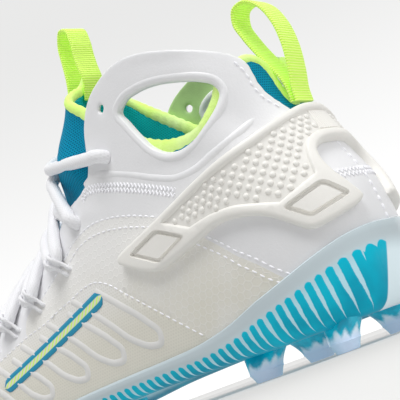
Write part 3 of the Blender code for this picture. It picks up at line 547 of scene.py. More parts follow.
STATIONS = np.linspace(-HALF_GIRTH, HALF_GIRTH, 629)
ANGLES = np.radians(np.linspace(0, 90, 181))
NET = last_point(STATIONS[:, None], ANGLES[None, :])
NET_STEPS = np.linalg.norm(np.diff(NET, axis=1), axis=-1)
RISES = np.concatenate([np.zeros((len(STATIONS), 1)), np.cumsum(NET_STEPS, axis=1)], axis=1)


def ridge_rise(u):
    """Rise of the ridge at girth u."""
    return np.interp(u, STATIONS, RISES[:, -1])


def section_angle(u, v):
    """Section angle at which the wall has risen by v."""
    i = np.clip(np.searchsorted(STATIONS, u) - 1, 0, len(STATIONS) - 2)
    share = (u - STATIONS[i]) / (STATIONS[i + 1] - STATIONS[i])
    way = v / ridge_rise(u)
    near = np.array([np.interp(w * RISES[k, -1], RISES[k], ANGLES) for w, k in zip(way, i)])
    far = np.array([np.interp(w * RISES[k + 1, -1], RISES[k + 1], ANGLES) for w, k in zip(way, i)])
    return near + (far - near) * share


def unit(vectors):
    return vectors / np.linalg.norm(vectors, axis=-1, keepdims=True)


def sideways(along):
    """Flat directions turned left by a right angle."""
    return np.stack([-along[:, 1], along[:, 0]], -1)


def last_normal(u, angle):
    turn = np.radians(0.4)
    a = np.clip(angle, 2 * turn, np.pi / 2 - 2 * turn)
    across = last_point(u, a + turn) - last_point(u, a - turn)
    along = last_point(u + 0.25, a) - last_point(u - 0.25, a)
    return unit(np.cross(across, along))


def wrap_with_normal(u, v, lift=0.0):
    """Points at pattern places (u, v), lifted off the last along its normal, and those normals."""
    u = np.atleast_1d(np.asarray(u, float))
    v = np.broadcast_to(np.asarray(v, float), u.shape)
    angle = section_angle(u, v)
    normal = last_normal(u, angle)
    return last_point(u, angle) + np.broadcast_to(lift, u.shape)[:, None] * normal, normal


def wrap(u, v, lift=0.0):
    return wrap_with_normal(u, v, lift)[0]


def run_along(points):
    """Distance along a line at each of its points."""
    return np.concatenate([[0], np.cumsum(np.linalg.norm(np.diff(points, axis=0), axis=1))])


def point_count(length, step):
    return max(2, int(round(length / step)) + 1)


def smooth_line(points, step):
    """Points about one step apart along a smooth curve through the given ones."""
    points = np.asarray(points, float)
    chord = run_along(points)
    at = np.linspace(0, chord[-1], point_count(chord[-1], step))
    return np.stack([cubic(at, chord, column) for column in points.T], -1)


def smooth_loop(points, step):
    """Closed smooth curve through the given points."""
    points = np.asarray(points, float)
    ring = np.concatenate([points[-3:], points, points[:3]])
    chord = run_along(ring)
    start, end = chord[3], chord[len(points) + 3]
    at = np.linspace(start, end, max(6, int(round((end - start) / step))), endpoint=False)
    return np.stack([cubic(at, chord, column) for column in ring.T], -1)


def straight(start, end, step):
    return np.linspace(start, end, point_count(math.dist(start, end), step))


def half_outline(lines, step):
    """Half an outline from lines that follow each other: smooth ones, and straight ones of two points."""
    parts = [straight(*line, step) if len(line) == 2 else smooth_line(line, step) for line in lines]
    return np.concatenate([*(part[:-1] for part in parts[:-1]), parts[-1]])


def rounded_corners(corners, reach, count=5):
    """Closed outline with straight sides and rounded corners."""
    corners = np.asarray(corners, float)
    line = []
    t = np.linspace(0, 1, count)[:, None]
    for before, corner, after in zip(np.roll(corners, 1, axis=0), corners, np.roll(corners, -1, axis=0)):
        start = corner + reach * unit(before - corner)
        end = corner + reach * unit(after - corner)
        line.append((1 - t) ** 2 * start + 2 * t * (1 - t) * corner + t**2 * end)
    return np.concatenate(line)


def spaced(outline, step):
    """Closed outline with points about one step apart along its straight sides."""
    ends = np.roll(outline, -1, axis=0)
    return np.concatenate([straight(a, b, step)[:-1] for a, b in zip(outline, ends)])


def mirrored(half):
    """Closed outline of a half that starts and ends on the heel's middle line, and of its mirror image."""
    return np.concatenate([half, (half * (-1, 1))[-2:0:-1]])


def chain(*lines):
    """One closed outline from lines that follow each other."""
    return np.concatenate([line[:-1] for line in lines])


def inside(points, outline):
    """Which points lie inside a closed outline."""
    x, y = points[:, 0, None], points[:, 1, None]
    a, b = outline, np.roll(outline, -1, axis=0)
    crosses = (a[:, 1] > y) != (b[:, 1] > y)
    rise = np.where(b[:, 1] == a[:, 1], 1e-12, b[:, 1] - a[:, 1])
    return (crosses & (x < a[:, 0] + (b[:, 0] - a[:, 0]) * (y - a[:, 1]) / rise)).sum(axis=1) % 2 == 1


def distance(points, corners):
    """Distance of each flat point from the nearest of the given corners."""
    tree = KDTree(len(corners))
    for k, (x, y) in enumerate(corners):
        tree.insert((x, y, 0.0), k)
    tree.balance()
    return np.array([tree.find((x, y, 0.0))[2] for x, y in points])


def inset(outline, amount):
    """The outline moved inward by a small amount."""
    along = np.roll(outline, -1, axis=0) - np.roll(outline, 1, axis=0)
    area = np.sum(outline[:, 0] * np.roll(outline[:, 1], -1) - outline[:, 1] * np.roll(outline[:, 0], -1))
    return outline + amount * np.sign(area) * unit(sideways(along))


def cut_pattern(outline, pitch, holes=(), creases=()):
    """Flat pattern as points and triangles, with holes cut out and crease loops kept as edges."""
    loops = [outline, *holes, *creases]
    lines = np.concatenate(loops)
    low, high = outline.min(axis=0), outline.max(axis=0)
    rows = np.arange(int(high[1] / pitch / 0.866) + 2)
    columns = np.arange(int(low[0] / pitch) - 1, int(high[0] / pitch) + 2)
    grid = np.array([((c + 0.5 * (r % 2)) * pitch, 0.866 * r * pitch) for r in rows for c in columns])
    grid = grid[inside(grid, outline)]
    grid = grid[distance(grid, lines) > 0.6 * pitch]
    edges = []
    start = 0
    for loop in loops:
        edges += [(start + k, start + (k + 1) % len(loop)) for k in range(len(loop))]
        start += len(loop)
    places = [Vector(p) for p in np.concatenate([lines, grid])]
    flat = delaunay_2d_cdt(places, edges, [], 0, 1e-5)
    points = np.array([tuple(p) for p in flat[0]])
    triangles = np.array([tuple(f) for f in flat[2]])
    middle = points[triangles].mean(axis=1)
    keep = inside(middle, outline)
    for hole in holes:
        keep &= ~inside(middle, hole)
    return points, triangles[keep]


def rounding(away, radius):
    """How far a rounded edge drops at a distance from it."""
    short = np.clip(radius - away, 0.0, radius)
    return radius - np.sqrt(radius**2 - short**2)


def build_shell(patterns, outer, inner):
    """Wrapped patterns joined into one closed wall between two lifts given at the pattern's points.

    Returns points, faces, the pattern place of each face corner, and the layer of each face: 0 outside,
    1 inside and 2 along the edges.
    """
    flat = np.concatenate([points for points, _ in patterns])
    starts = np.cumsum([0] + [len(points) for points, _ in patterns])
    corners = np.concatenate([tris + start for (_, tris), start in zip(patterns, starts)])
    angle = section_angle(flat[:, 0], flat[:, 1])
    place = last_point(flat[:, 0], angle)
    normal = last_normal(flat[:, 0], angle)
    keys, joined = np.unique(np.round(place, 2), axis=0, return_inverse=True)
    joined = joined.reshape(-1)
    count = len(keys)
    share = np.bincount(joined, minlength=count)[:, None]

    def merged(values):
        return np.stack([np.bincount(joined, column, count) for column in values.T], -1) / share

    place, normal = merged(place), unit(merged(normal))
    lifts = merged(np.stack([np.broadcast_to(outer, len(flat)), np.broadcast_to(inner, len(flat))], -1))
    triangles = joined[corners]
    whole = (triangles != np.roll(triangles, 1, axis=1)).all(axis=1)
    triangles, corners = triangles[whole], corners[whole]
    sides = np.concatenate([triangles[:, [0, 1]], triangles[:, [1, 2]], triangles[:, [2, 0]]])
    flat_sides = np.concatenate([corners[:, [0, 1]], corners[:, [1, 2]], corners[:, [2, 0]]])
    _, first, uses = np.unique(np.sort(sides, axis=1), axis=0, return_index=True, return_counts=True)
    rims = sides[first[uses == 1]]
    flat_rims = flat_sides[first[uses == 1]]
    used = np.unique(triangles)
    number = np.full(count, -1)
    number[used] = np.arange(len(used))
    points = np.concatenate([place[used] + lifts[used, k : k + 1] * normal[used] for k in (0, 1)])
    triangles, rims, n = number[triangles], number[rims], len(used)
    faces = [*triangles.tolist(), *(triangles[:, ::-1] + n).tolist()]
    faces += [(b, a, a + n, b + n) for a, b in rims.tolist()]
    places = [flat[c] for c in corners] + [flat[c[::-1]] for c in corners]
    places += [flat[[b, a, a, b]] for a, b in flat_rims]
    layers = np.repeat((0, 1, 2), (len(triangles), len(triangles), len(rims)))
    return points, faces, places, layers


def ridge_line(start, end, side, step):
    u = np.linspace(start, end, point_count(abs(end - start), step))
    return np.stack([u, ridge_rise(side * u)], -1)


def throat_line(side, step):
    """The throat's edge on one side, from its front end to the ankle wing."""
    u = np.concatenate([THROAT[:, 0], [WING_EDGE[0][0] + 3]])
    gap = np.concatenate([THROAT[:, 1], [THROAT_END_GAP]])
    return smooth_line(np.stack([u, ridge_rise(side * u) - gap], -1), step)


def wing_line(side, step):
    return smooth_line([tuple(throat_line(side, 5.0)[-1]), *WING_EDGE], step)


def upper_outline(side, step):
    toe = ridge_rise(HALF_GIRTH)
    return chain(
        straight((0, 0), (HALF_GIRTH, 0), step),
        straight((HALF_GIRTH, 0), (HALF_GIRTH, toe), step),
        ridge_line(HALF_GIRTH, THROAT[0, 0], side, step),
        throat_line(side, step),
        wing_line(side, step),
        straight((0, WING_EDGE[-1][1]), (0, 0), step),
    )


def oval(across, out, count):
    turn = np.linspace(0, 2 * np.pi, count, endpoint=False)
    return np.stack([across * np.cos(turn), out * np.sin(turn)], -1)


def circle(u, v, radius, count):
    return (u, v) + oval(radius, radius, count)


def tongue_share(flat):
    """How far into the open throat a pattern point lies, from 0 at the upper's edge to 1."""
    share = np.zeros(len(flat))
    for side in (1, -1):
        here = flat[:, 0] * side >= 0
        if not here.any():
            continue
        place = flat[here] * (side, 1)
        edge = upper_outline(side, 1.5)
        away = np.where(inside(place, edge), 0.0, distance(place, edge[edge[:, 1] > 1]))
        share[here] = ease((away - 4.0) / 15.0) * ease((np.abs(place[:, 0]) - 100) / 14)
    return share


def tongue_lift(flat):
    """Lift of the sleeve's outside: under the upper, and padded up in the open throat."""
    gap = ridge_rise(flat[:, 0]) - flat[:, 1]
    on_ridge = ease((12 - gap) / 12) * ease((212 - np.abs(flat[:, 0])) / 12)
    in_throat = np.maximum(tongue_share(flat), on_ridge)
    rise = TONGUE_RISE + TONGUE_TOP_RISE * ease((164 - np.abs(flat[:, 0])) / 28)
    return -UPPER_WALL - SLEEVE_CLEARANCE + rise * in_throat * ease((214 - np.abs(flat[:, 0])) / 14)


class Wiring:
    """Adds and links the nodes of one tree."""

    def __init__(self, tree):
        self.tree = tree

    def feed(self, socket, value):
        if isinstance(value, bpy.types.NodeSocket):
            self.tree.links.new(value, socket)
        else:
            socket.default_value = value

    def node(self, kind, sockets=None, **settings):
        made = self.tree.nodes.new(kind)
        for name, value in settings.items():
            setattr(made, name, value)
        for name, value in (sockets or {}).items():
            self.feed(made.inputs[name], value)
        return made

    def first(self, kind, sockets=None, **settings):
        """First output of a new node."""
        return self.node(kind, sockets, **settings).outputs[0]

    def math(self, operation, *values):
        return self.first("ShaderNodeMath", dict(enumerate(values)), operation=operation)

    def vector(self, operation, *values):
        made = self.node("ShaderNodeVectorMath", dict(enumerate(values)), operation=operation)
        return made.outputs["Value" if operation in ("DOT_PRODUCT", "LENGTH") else "Vector"]

    def plus(self, first, second):
        return self.math("ADD", first, second)

    def minus(self, first, second):
        return self.math("SUBTRACT", first, second)

    def times(self, first, second):
        return self.math("MULTIPLY", first, second)

    def scaled(self, value, gain, base):
        return self.math("MULTIPLY_ADD", value, gain, base)

    def flipped(self, share):
        return self.minus(1.0, share)

    def sine(self, angle):
        return self.math("SINE", angle)

    def fade(self, value, start, end):
        """0 before start, 1 after end, smooth between."""
        sockets = {"Value": value, "From Min": start, "From Max": end}
        return self.first("ShaderNodeMapRange", sockets, interpolation_type="SMOOTHSTEP")

    def blend(self, share, first, second):
        return self.node("ShaderNodeMix", {0: share, 6: first, 7: second}, data_type="RGBA").outputs[2]

    def pattern(self):
        """Pattern places of the surface, in millimetres."""
        return self.first("ShaderNodeUVMap", uv_map="pattern")

    def object_place(self):
        return self.node("ShaderNodeTexCoord").outputs["Object"]

    def parts(self, vector):
        return self.node("ShaderNodeSeparateXYZ", {0: vector}).outputs

    def group(self, tree, sockets):
        return self.node("ShaderNodeGroup", sockets, node_tree=tree).outputs


def new_tree(name, kind, inputs, outputs):
    """Empty node group with named sockets, its wiring and its two ends."""
    tree = bpy.data.node_groups.new(name, kind)
    for label, value, default in inputs:
        socket = tree.interface.new_socket(label, in_out="INPUT", socket_type="NodeSocket" + value)
        if default is not None:
            socket.default_value = default
    for label, value in outputs:
        tree.interface.new_socket(label, in_out="OUTPUT", socket_type="NodeSocket" + value)
    wires = Wiring(tree)
    return tree, wires, wires.node("NodeGroupInput").outputs, wires.node("NodeGroupOutput").inputs


def shader_group(name, inputs, outputs):
    inputs = (("Place", "Vector", None), *inputs)
    return new_tree(name, "ShaderNodeTree", inputs, [(label, "Float") for label in outputs])


def made_once(build):
    """Gives a node group by its builder's name, built the first time it is asked for."""

    def find():
        return bpy.data.node_groups.get(build.__name__) or build(build.__name__)

    return find


@made_once
def hex_lattice(name):
    """Distance from the edge and from the middle of the hexagon cell at a place."""
    tree, wires, given, ends = shader_group(name, (("Pitch", "Float", 3.0),), ("Edge", "Middle"))
    half = (0.5, 0.5 * 3.0**0.5, 0.5)
    low = tuple(-h for h in half)
    flat = (1.0, 1.0, 0.0)
    pitch = wires.first("ShaderNodeCombineXYZ", {0: given["Pitch"], 1: given["Pitch"], 2: 1.0})
    place = wires.vector("DIVIDE", given["Place"], pitch)
    shifted = wires.vector("ADD", place, half)
    first = wires.vector("MULTIPLY", wires.vector("WRAP", place, half, low), flat)
    second = wires.vector("MULTIPLY", wires.vector("WRAP", shifted, half, low), flat)
    nearer = wires.math("LESS_THAN", wires.vector("LENGTH", second), wires.vector("LENGTH", first))
    here = wires.node("ShaderNodeMix", {0: nearer, 4: first, 5: second}, data_type="VECTOR").outputs[1]
    spread = wires.vector("ABSOLUTE", here)
    slant = wires.vector("DOT_PRODUCT", spread, (0.5, 0.75**0.5, 0.0))
    reach = wires.math("MAXIMUM", wires.parts(spread)[0], slant)
    wires.feed(ends["Edge"], wires.minus(0.5, reach))
    wires.feed(ends["Middle"], wires.vector("LENGTH", here))
    return tree


@made_once
def fine_grain(name):
    """Fine surface grain and a broad soft mottle of a moulded or coated surface."""
    tree, wires, given, ends = shader_group(name, (("Size", "Float", 1.0),), ("Grain", "Mottle"))
    fine = wires.math("DIVIDE", 1.0 / MM, given["Size"])
    for label, scale, detail, rough in (("Grain", fine, 4.0, 0.6), ("Mottle", 55.0, 3.0, 0.5)):
        sockets = {"Vector": given["Place"], "Scale": scale, "Detail": detail, "Roughness": rough}
        wires.feed(ends[label], wires.first("ShaderNodeTexNoise", sockets))
    return tree


@made_once
def braid(name):
    """Height of a round braid: x along the cord in millimetres, y once round it."""
    inputs = (("Lay", "Float", 5.0), ("Strands", "Float", 8.0))
    tree, wires, given, ends = shader_group(name, inputs, ("Height",))
    place = wires.parts(given["Place"])
    along = wires.math("DIVIDE", wires.times(place[0], 4 * math.pi), given["Lay"])
    round_it = wires.times(wires.times(place[1], 2 * math.pi), given["Strands"])
    left = wires.sine(wires.plus(round_it, along))
    right = wires.sine(wires.minus(round_it, along))
    wires.feed(ends["Height"], wires.scaled(wires.math("MAXIMUM", left, right), 0.5, 0.5))
    return tree


def shade(colour, factor=1.0):
    return (*(min(1.0, c * factor) for c in colour), 1.0)


class Finish(Wiring):
    """Wiring of a new material round its shader, with the shader's plain numbers set."""

    def __init__(self, name, numbers):
        self.made = bpy.data.materials.new(name)
        self.made.use_nodes = True
        super().__init__(self.made.node_tree)
        self.shader = self.tree.nodes["Principled BSDF"]
        for socket, value in numbers.items():
            self.put(socket, value)

    def put(self, socket, value):
        self.feed(self.shader.inputs[socket], value)

    def grain(self, size):
        """Grain and mottle of the surface, with a grain of the given size in millimetres."""
        return self.group(fine_grain(), {"Place": self.object_place(), "Size": size})

    def tones(self, share, colour, low, high):
        """Blend of two shades of one colour."""
        return self.blend(share, shade(colour, low), shade(colour, high))

    def dots(self, place, pitch, start, end):
        """1 in the middle of each cell of a hexagon lattice, fading out over two shares of its width."""
        cell = self.group(hex_lattice(), {"Place": place, "Pitch": pitch})
        return self.flipped(self.fade(cell["Middle"], start, end))

    def lit_edge(self, inner):
        """Clear moulding's colour with a painted edge light: bluer where it is seen edge on."""
        facing_away = self.node("ShaderNodeLayerWeight", {"Blend": 0.3}).outputs["Facing"]
        share = self.times(self.math("POWER", facing_away, 2.0), 0.6)
        return self.blend(share, inner, shade(colours().bar, 1.25))

    def dress(self, colour, rough, *reliefs, glows=False):
        """Feeds the shader its colour, its roughness and its reliefs.

        The roughness is (value, gain, base), and each relief is (height, depth, strength).
        """
        self.put("Base Color", colour)
        if glows:
            self.put("Emission Color", colour)
        self.put("Roughness", self.scaled(*rough))
        below = {}
        for height, depth, strength in reliefs:
            sockets = {"Height": height, "Distance": depth, "Strength": strength, **below}
            below = {"Normal": self.first("ShaderNodeBump", sockets)}
        for socket, normal in below.items():
            self.put(socket, normal)
        return self.made


def plain_finish(name, coat, colour, tones, size, rough, relief):
    """Coated surface of one mottled colour with a fine grain."""
    look = Finish(name, {"Coat Weight": coat[0], "Coat Roughness": coat[1]})
    grain = look.grain(size)
    mottled = look.tones(grain["Mottle"], colour, *tones)
    return look.dress(mottled, (grain["Grain"], *rough), (grain["Grain"], *relief))


def skin_finish():
    tones, rough, relief = (0.95, 1.02), (0.16, 0.36), (0.00012, 0.6)
    return plain_finish("skin_white", (0.12, 0.3), colours().skin, tones, 0.9, rough, relief)


def film_bead_finish():
    tones, rough, relief = (0.86, 0.93), (0.15, 0.3), (0.0001, 0.4)
    return plain_finish("film_bead", (0.4, 0.2), colours().film_top, tones, 1.0, rough, relief)


def strap_finish():
    tones, rough, relief = (0.94, 1.03), (0.18, 0.4), (0.00008, 0.5)
    return plain_finish("strap_rubber", (0.08, 0.4), colours().strap, tones, 0.5, rough, relief)


def film_colour(look, place, top_rise):
    share = look.fade(look.parts(place)[1], FILM_LOW_RISE, top_rise)
    return look.blend(share, shade(colours().film_low), shade(colours().film_top))


def hex_film_finish():
    look = Finish("film_hexagons", FILM_NUMBERS)
    place = look.pattern()
    cell = look.group(hex_lattice(), {"Place": place, "Pitch": sizes().hex_pitch / MM})
    line = look.flipped(look.fade(cell["Edge"], 0.02, 0.10))
    grain = look.grain(1.6)
    base = film_colour(look, place, 54.0)
    paler = look.blend(0.5, base, shade(colours().film_top))
    base = look.blend(look.fade(grain["Mottle"], 0.35, 0.7), base, paler)
    lit = look.blend(look.times(line, 0.3), base, shade(colours().film_top, 1.04))
    return look.dress(lit, (line, 0.18, 0.3), (line, 0.0002, 0.35), (grain["Grain"], 0.00012, 0.4))


def mesh_film_finish():
    look = Finish("film_mesh", FILM_NUMBERS)
    place = look.pattern()
    dot = look.dots(place, sizes().mesh_pitch / MM, 0.16, 0.36)
    base = film_colour(look, place, 44.0)
    dark = look.blend(look.times(dot, 0.45), base, shade(colours().film_low, 0.84))
    grain = look.grain(1.4)["Grain"]
    return look.dress(dark, (grain, 0.2, 0.28), (dot, 0.0001, 0.3), (grain, 0.00012, 0.4))


def lining_finish():
    look = Finish("upper_lining", {"Sheen Weight": 0.2})
    grain = look.grain(0.7)
    cloth = look.tones(look.fade(grain["Mottle"], 0.3, 0.7), colours().lining, 0.82, 1.1)
    return look.dress(cloth, (grain["Grain"], 0.2, 0.5), (grain["Grain"], 0.0002, 0.6))


def knit_finish(name, face, hole):
    """Spacer knit with staggered holes."""
    look = Finish(name, {"Specular IOR Level": 0.12})
    open_part = look.dots(look.pattern(), sizes().knit_pitch / MM, 0.10, 0.34)
    grain = look.grain(0.8)
    cloth = look.tones(grain["Mottle"], face, 0.86, 1.12)
    cloth = look.blend(open_part, cloth, shade(hole, 0.7))
    ridges = look.flipped(open_part)
    return look.dress(cloth, (open_part, 0.12, 0.72), (ridges, 0.0003, 0.6), (grain["Grain"], 0.0002, 0.5))


def binding_finish():
    look = Finish("binding_cloth", {"Sheen Weight": 0.2, **VOLT_NUMBERS})
    grain = look.grain(0.6)
    volt = colours().volt
    pale = tuple(0.3 + 0.7 * c for c in volt)
    cloth = look.blend(look.fade(grain["Mottle"], 0.3, 0.75), shade(volt, 0.95), shade(pale, 0.95))
    return look.dress(cloth, (grain["Grain"], 0.15, 0.7), (grain["Grain"], 0.0004, 0.7), glows=True)


def plate_finish():
    """Clear moulding with coloured bars inside it, and a frosted rim band."""
    numbers = {"Coat Roughness": 0.08, "Specular IOR Level": 0.12, "Emission Strength": 0.6 * CLEAR_GLOW}
    look = Finish("plate_clear", numbers)
    colour = colours()
    phase, below, _ = look.parts(look.pattern())
    depth = look.node("ShaderNodeAttribute", attribute_name="bar_depth").outputs["Fac"]
    girth = look.node("ShaderNodeAttribute", attribute_name="bar_girth").outputs["Fac"]
    grain = look.grain(3.0)
    ripple = look.scaled(grain["Grain"], 0.16, -0.08)
    turns = look.plus(look.plus(phase, ripple), look.times(below, 0.03))
    offset = look.math("ABSOLUTE", look.minus(look.math("FRACT", turns), 0.5))
    wide = look.scaled(look.fade(depth, 0.2, 1.0), 0.22, 0.32)
    wide = look.plus(wide, look.flipped(look.fade(phase, -0.05, 0.02)))
    bar = look.flipped(look.fade(look.minus(offset, wide), -0.03, 0.03))
    corner = look.times(look.math("POWER", offset, 2.0), 8.0)
    top_end = look.fade(look.minus(below, corner), -0.1, 0.4)
    low_end = look.flipped(look.fade(look.plus(depth, ripple), 1.2, 1.7))
    slant = look.minus(girth, look.times(below, BLOCK_SLANT))
    back_end = look.fade(slant, BLOCK_EDGE, BLOCK_EDGE + 0.6)
    mask = look.times(look.times(bar, top_end), look.times(low_end, back_end))
    # Painted shade: the bars darken toward the plate's lower edge, broken up by a random mottle
    lower_shade = look.times(look.fade(grain["Mottle"], 0.25, 0.65), look.fade(depth, -0.1, 0.6))
    teal = look.blend(lower_shade, shade(colour.bar), shade(colour.bar_deep))
    plain = look.blend(look.fade(below, -2.0, 5.0), shade(colour.frost), shade(colour.clear))
    # Painted highlight: a paler band of frost along the rim's top edge
    plain = look.blend(look.fade(below, -3.4, -6.0), plain, shade(colour.frost, 1.14))
    near_bars = look.times(look.fade(below, -1.0, 3.0), look.times(back_end, 0.35))
    tint = look.blend(near_bars, plain, shade(colour.bar))
    rough = look.fade(girth, 6.0, 16.0)
    # Painted glow: the plate emits its clear tint, and a darker bar colour under the bars
    look.put("Emission Color", look.blend(mask, tint, shade(colour.bar_deep, 0.8)))
    look.put("Coat Weight", look.scaled(rough, -0.7, 0.8))
    glass = look.blend(mask, tint, teal)
    return look.dress(glass, (rough, 0.24, 0.12), (mask, 0.0002, 0.3), (grain["Mottle"], 0.0006, 0.3))


def stud_finish():
    """Stud body: coloured flames at the root that run out to clear."""
    look = Finish("stud_clear", CLEAR_NUMBERS)
    colour = colours()
    around, rise, _ = look.parts(look.pattern())
    grain = look.grain(6.0)
    wave = look.sine(look.times(around, 2 * math.pi * STUD_FLAMES))
    edge = look.plus(look.scaled(wave, 0.10, rise), look.scaled(grain["Grain"], 0.5, -0.25))
    teal = look.blend(look.fade(grain["Grain"], 0.35, 0.65), shade(colour.bar), shade(colour.bar_deep))
    pale = look.blend(look.fade(rise, 0.0, 0.5), shade(colour.tip, 1.06), shade(colour.clear))
    glass = look.lit_edge(look.blend(look.fade(edge, 0.18, 0.44), pale, teal))
    return look.dress(glass, (grain["Grain"], 0.15, 0.12), (grain["Mottle"], 0.0006, 0.3), glows=True)


def tip_finish():
    look = Finish("stud_tip_clear", CLEAR_NUMBERS)
    grain = look.grain(2.0)
    glass = look.lit_edge(look.tones(grain["Mottle"], colours().tip, 0.92, 1.08))
    return look.dress(glass, (grain["Grain"], 0.2, 0.25), (grain["Grain"], 0.0001, 0.3), glows=True)


def webbing_finish():
    look = Finish("webbing_ribbed", {"Sheen Weight": 0.15, **VOLT_NUMBERS})
    along, across, _ = look.parts(look.pattern())
    turn = look.times(along, 2 * math.pi * MM / sizes().web_pitch)
    rib = look.scaled(look.sine(turn), 0.5, 0.5)
    twill = look.sine(look.scaled(across, 2 * math.pi / TWILL_PITCH, look.times(turn, 0.5)))
    weave = look.scaled(twill, 0.12, rib)
    # Painted light and shade: rib crests get a painted highlight and the grooves between them painted shade
    cloth = look.blend(look.fade(weave, 0.0, 0.75), shade(colours().volt_shade), shade(colours().volt, 1.08))
    return look.dress(cloth, (weave, -0.12, 0.74), (weave, 0.00025, 0.6), glows=True)


def cord_finish(name, lay, strands):
    look = Finish(name, {"Sheen Weight": 0.15, "Sheen Roughness": 0.4})
    height = look.group(braid(), {"Place": look.pattern(), "Lay": lay, "Strands": strands})["Height"]
    # Painted shade: the cord is a little darker in the grooves of the braid
    white = look.tones(look.fade(height, 0.2, 0.9), colours().cord, 0.95, 1.0)
    grain = look.grain(0.5)["Grain"]
    return look.dress(white, (height, -0.1, 0.78), (height, 0.00015, 0.5), (grain, 0.0001, 0.5))


def thread_finish():
    # Painted glow: the thread emits a little of its own colour so the stitches stay bright in shade
    look = Finish("thread_white", {"Sheen Weight": 0.2, "Emission Strength": 0.12})
    grain = look.grain(0.3)["Grain"]
    spun = look.tones(grain, colours().thread, 0.90, 1.0)
    return look.dress(spun, (grain, 0.2, 0.5), (grain, 0.0001, 0.5), glows=True)


def side_bar_finish():
    """Printed bar with a woven two-tone core."""
    look = Finish("side_bar_print", {"Coat Weight": 0.3, "Coat Roughness": 0.25})
    along, across, _ = look.parts(look.pattern())
    dash = look.sine(look.scaled(along, 2.4, look.times(across, 2.6)))
    woven = look.blend(look.fade(dash, -0.2, 0.3), shade(colours().film_low), shade(colours().volt))
    from_middle = look.math("ABSOLUTE", across)
    core = look.flipped(look.fade(from_middle, SIDE_CORE_HALF - 0.15, SIDE_CORE_HALF + 0.15))
    grain = look.grain(1.0)
    blue = look.tones(grain["Mottle"], colours().knit, 0.9, 1.1)
    print_colour = look.blend(core, blue, woven)
    return look.dress(print_colour, (grain["Grain"], 0.2, 0.3), (grain["Grain"], 0.0001, 0.4))


def insole_finish():
    look = Finish("insole_cloth", {"Sheen Weight": 0.3})
    sockets = {0: look.object_place(), "Scale": 1.0 / MM}
    place = look.first("ShaderNodeVectorMath", sockets, operation="SCALE")
    grain = look.grain(0.8)
    cloth = look.tones(grain["Mottle"], colours().insole, 0.88, 1.06)
    cloth = look.blend(look.dots(place, INSOLE_PITCH, 0.12, 0.3), cloth, shade(colours().insole, 0.6))
    return look.dress(cloth, (grain["Grain"], 0.15, 0.75), (grain["Grain"], 0.0003, 0.6))


def floor_finish():
    """Pale floor with a painted shadow: darker close to the shoe."""
    look = Finish("floor_pale", FLOOR_NUMBERS)
    away = look.vector("LENGTH", look.object_place())
    # Painted shadow: the floor's colour drops to three quarters close to the shoe
    pale = look.tones(look.fade(away, 0.16, 0.34), colours().floor, 0.75, 1.0)
    return look.dress(pale, (look.grain(2.0)["Grain"], 0.1, 0.8))


def backdrop_finish():
    """Lit backdrop, a little brighter toward the floor."""
    numbers = {"Base Color": (0.0, 0.0, 0.0, 1.0), "Specular IOR Level": 0.0, "Emission Strength": 1.0}
    look = Finish("backdrop_pale", numbers)
    rise = look.fade(look.parts(look.object_place())[2], 0.0, 0.8)
    look.put("Emission Color", look.blend(rise, BACKDROP_FOOT, BACKDROP_TOP))
    return look.made


def add_piece(name, points, faces, looks, nodes=(), places=None, indices=None, sharp=None):
    """Finished piece from points in millimetres: faces turned outward, riding on the shoe."""
    mesh = bpy.data.meshes.new(name)
    mesh.from_pydata((np.asarray(points) - ORIGIN) * MM, [], [tuple(f) for f in faces])
    for look in looks:
        mesh.materials.append(look)
    if indices is not None:
        mesh.polygons.foreach_set("material_index", np.asarray(indices, np.int32))
    if places is not None:
        layer = mesh.uv_layers.new(name="pattern")
        layer.data.foreach_set("uv", np.concatenate([np.asarray(p, float) for p in places]).ravel())
    built = bmesh.new()
    built.from_mesh(mesh)
    bmesh.ops.recalc_face_normals(built, faces=built.faces)
    built.to_mesh(mesh)
    built.free()
    mesh.shade_smooth()
    if sharp is not None:
        mesh.set_sharp_from_angle(angle=math.radians(sharp))
    made = bpy.data.objects.new(name, mesh)
    bpy.context.scene.collection.objects.link(made)
    claim(made, nodes)
    return made


def claim(made, nodes=()):
    """Lets a piece ride on the shoe and stand for its solids."""
    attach(made, "root")
    if nodes:
        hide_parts(*nodes)


def ring_faces(rows, ring, place, closed=False, caps=True):
    """Faces between rows of points that each close to a ring, and the pattern place of each face corner."""
    faces, places = [], []
    for i in range(rows if closed else rows - 1):
        for k in range(ring):
            corners = ((i, k), (i + 1, k), (i + 1, k + 1), (i, k + 1))
            faces.append([a % rows * ring + b % ring for a, b in corners])
            places.append([place(a, b) for a, b in corners])
    for i in (0, rows - 1) if caps else ():
        faces.append([i * ring + k for k in range(ring)])
        places.append([place(i, k) for k in range(ring)])
    return faces, places


def sweep(path, out, profile, closed=False):
    """Profile of (across, out) offsets swept along a path.

    The profile may be one outline for the whole path or one for each of its points. Returns points,
    faces and the place of each face corner: distance along the path, and share of the way round.
    """
    path = np.asarray(path, float)
    if closed:
        along = unit(np.roll(path, -1, axis=0) - np.roll(path, 1, axis=0))
    else:
        along = unit(np.gradient(path, axis=0))
    out = unit(out - (out * along).sum(axis=1, keepdims=True) * along)
    across = np.cross(along, out)
    profile = np.broadcast_to(profile, (len(path), *np.asarray(profile).shape[-2:]))
    points = path[:, None] + profile[:, :, :1] * across[:, None] + profile[:, :, 1:] * out[:, None]
    n, m = points.shape[:2]
    run = run_along(np.concatenate([path, path[:1]]))
    faces, places = ring_faces(n, m, lambda a, b: (run[a], b / m), closed, not closed)
    return points.reshape(-1, 3), faces, places


def joined(bodies):
    """Several swept bodies as one mesh."""
    starts = np.cumsum([0] + [len(points) for points, _, _ in bodies])
    points = np.concatenate([points for points, _, _ in bodies])
    faces = [tuple(k + start for k in face) for (_, faces, _), start in zip(bodies, starts) for face in faces]
    places = [place for _, _, places in bodies for place in places]
    return points, faces, places


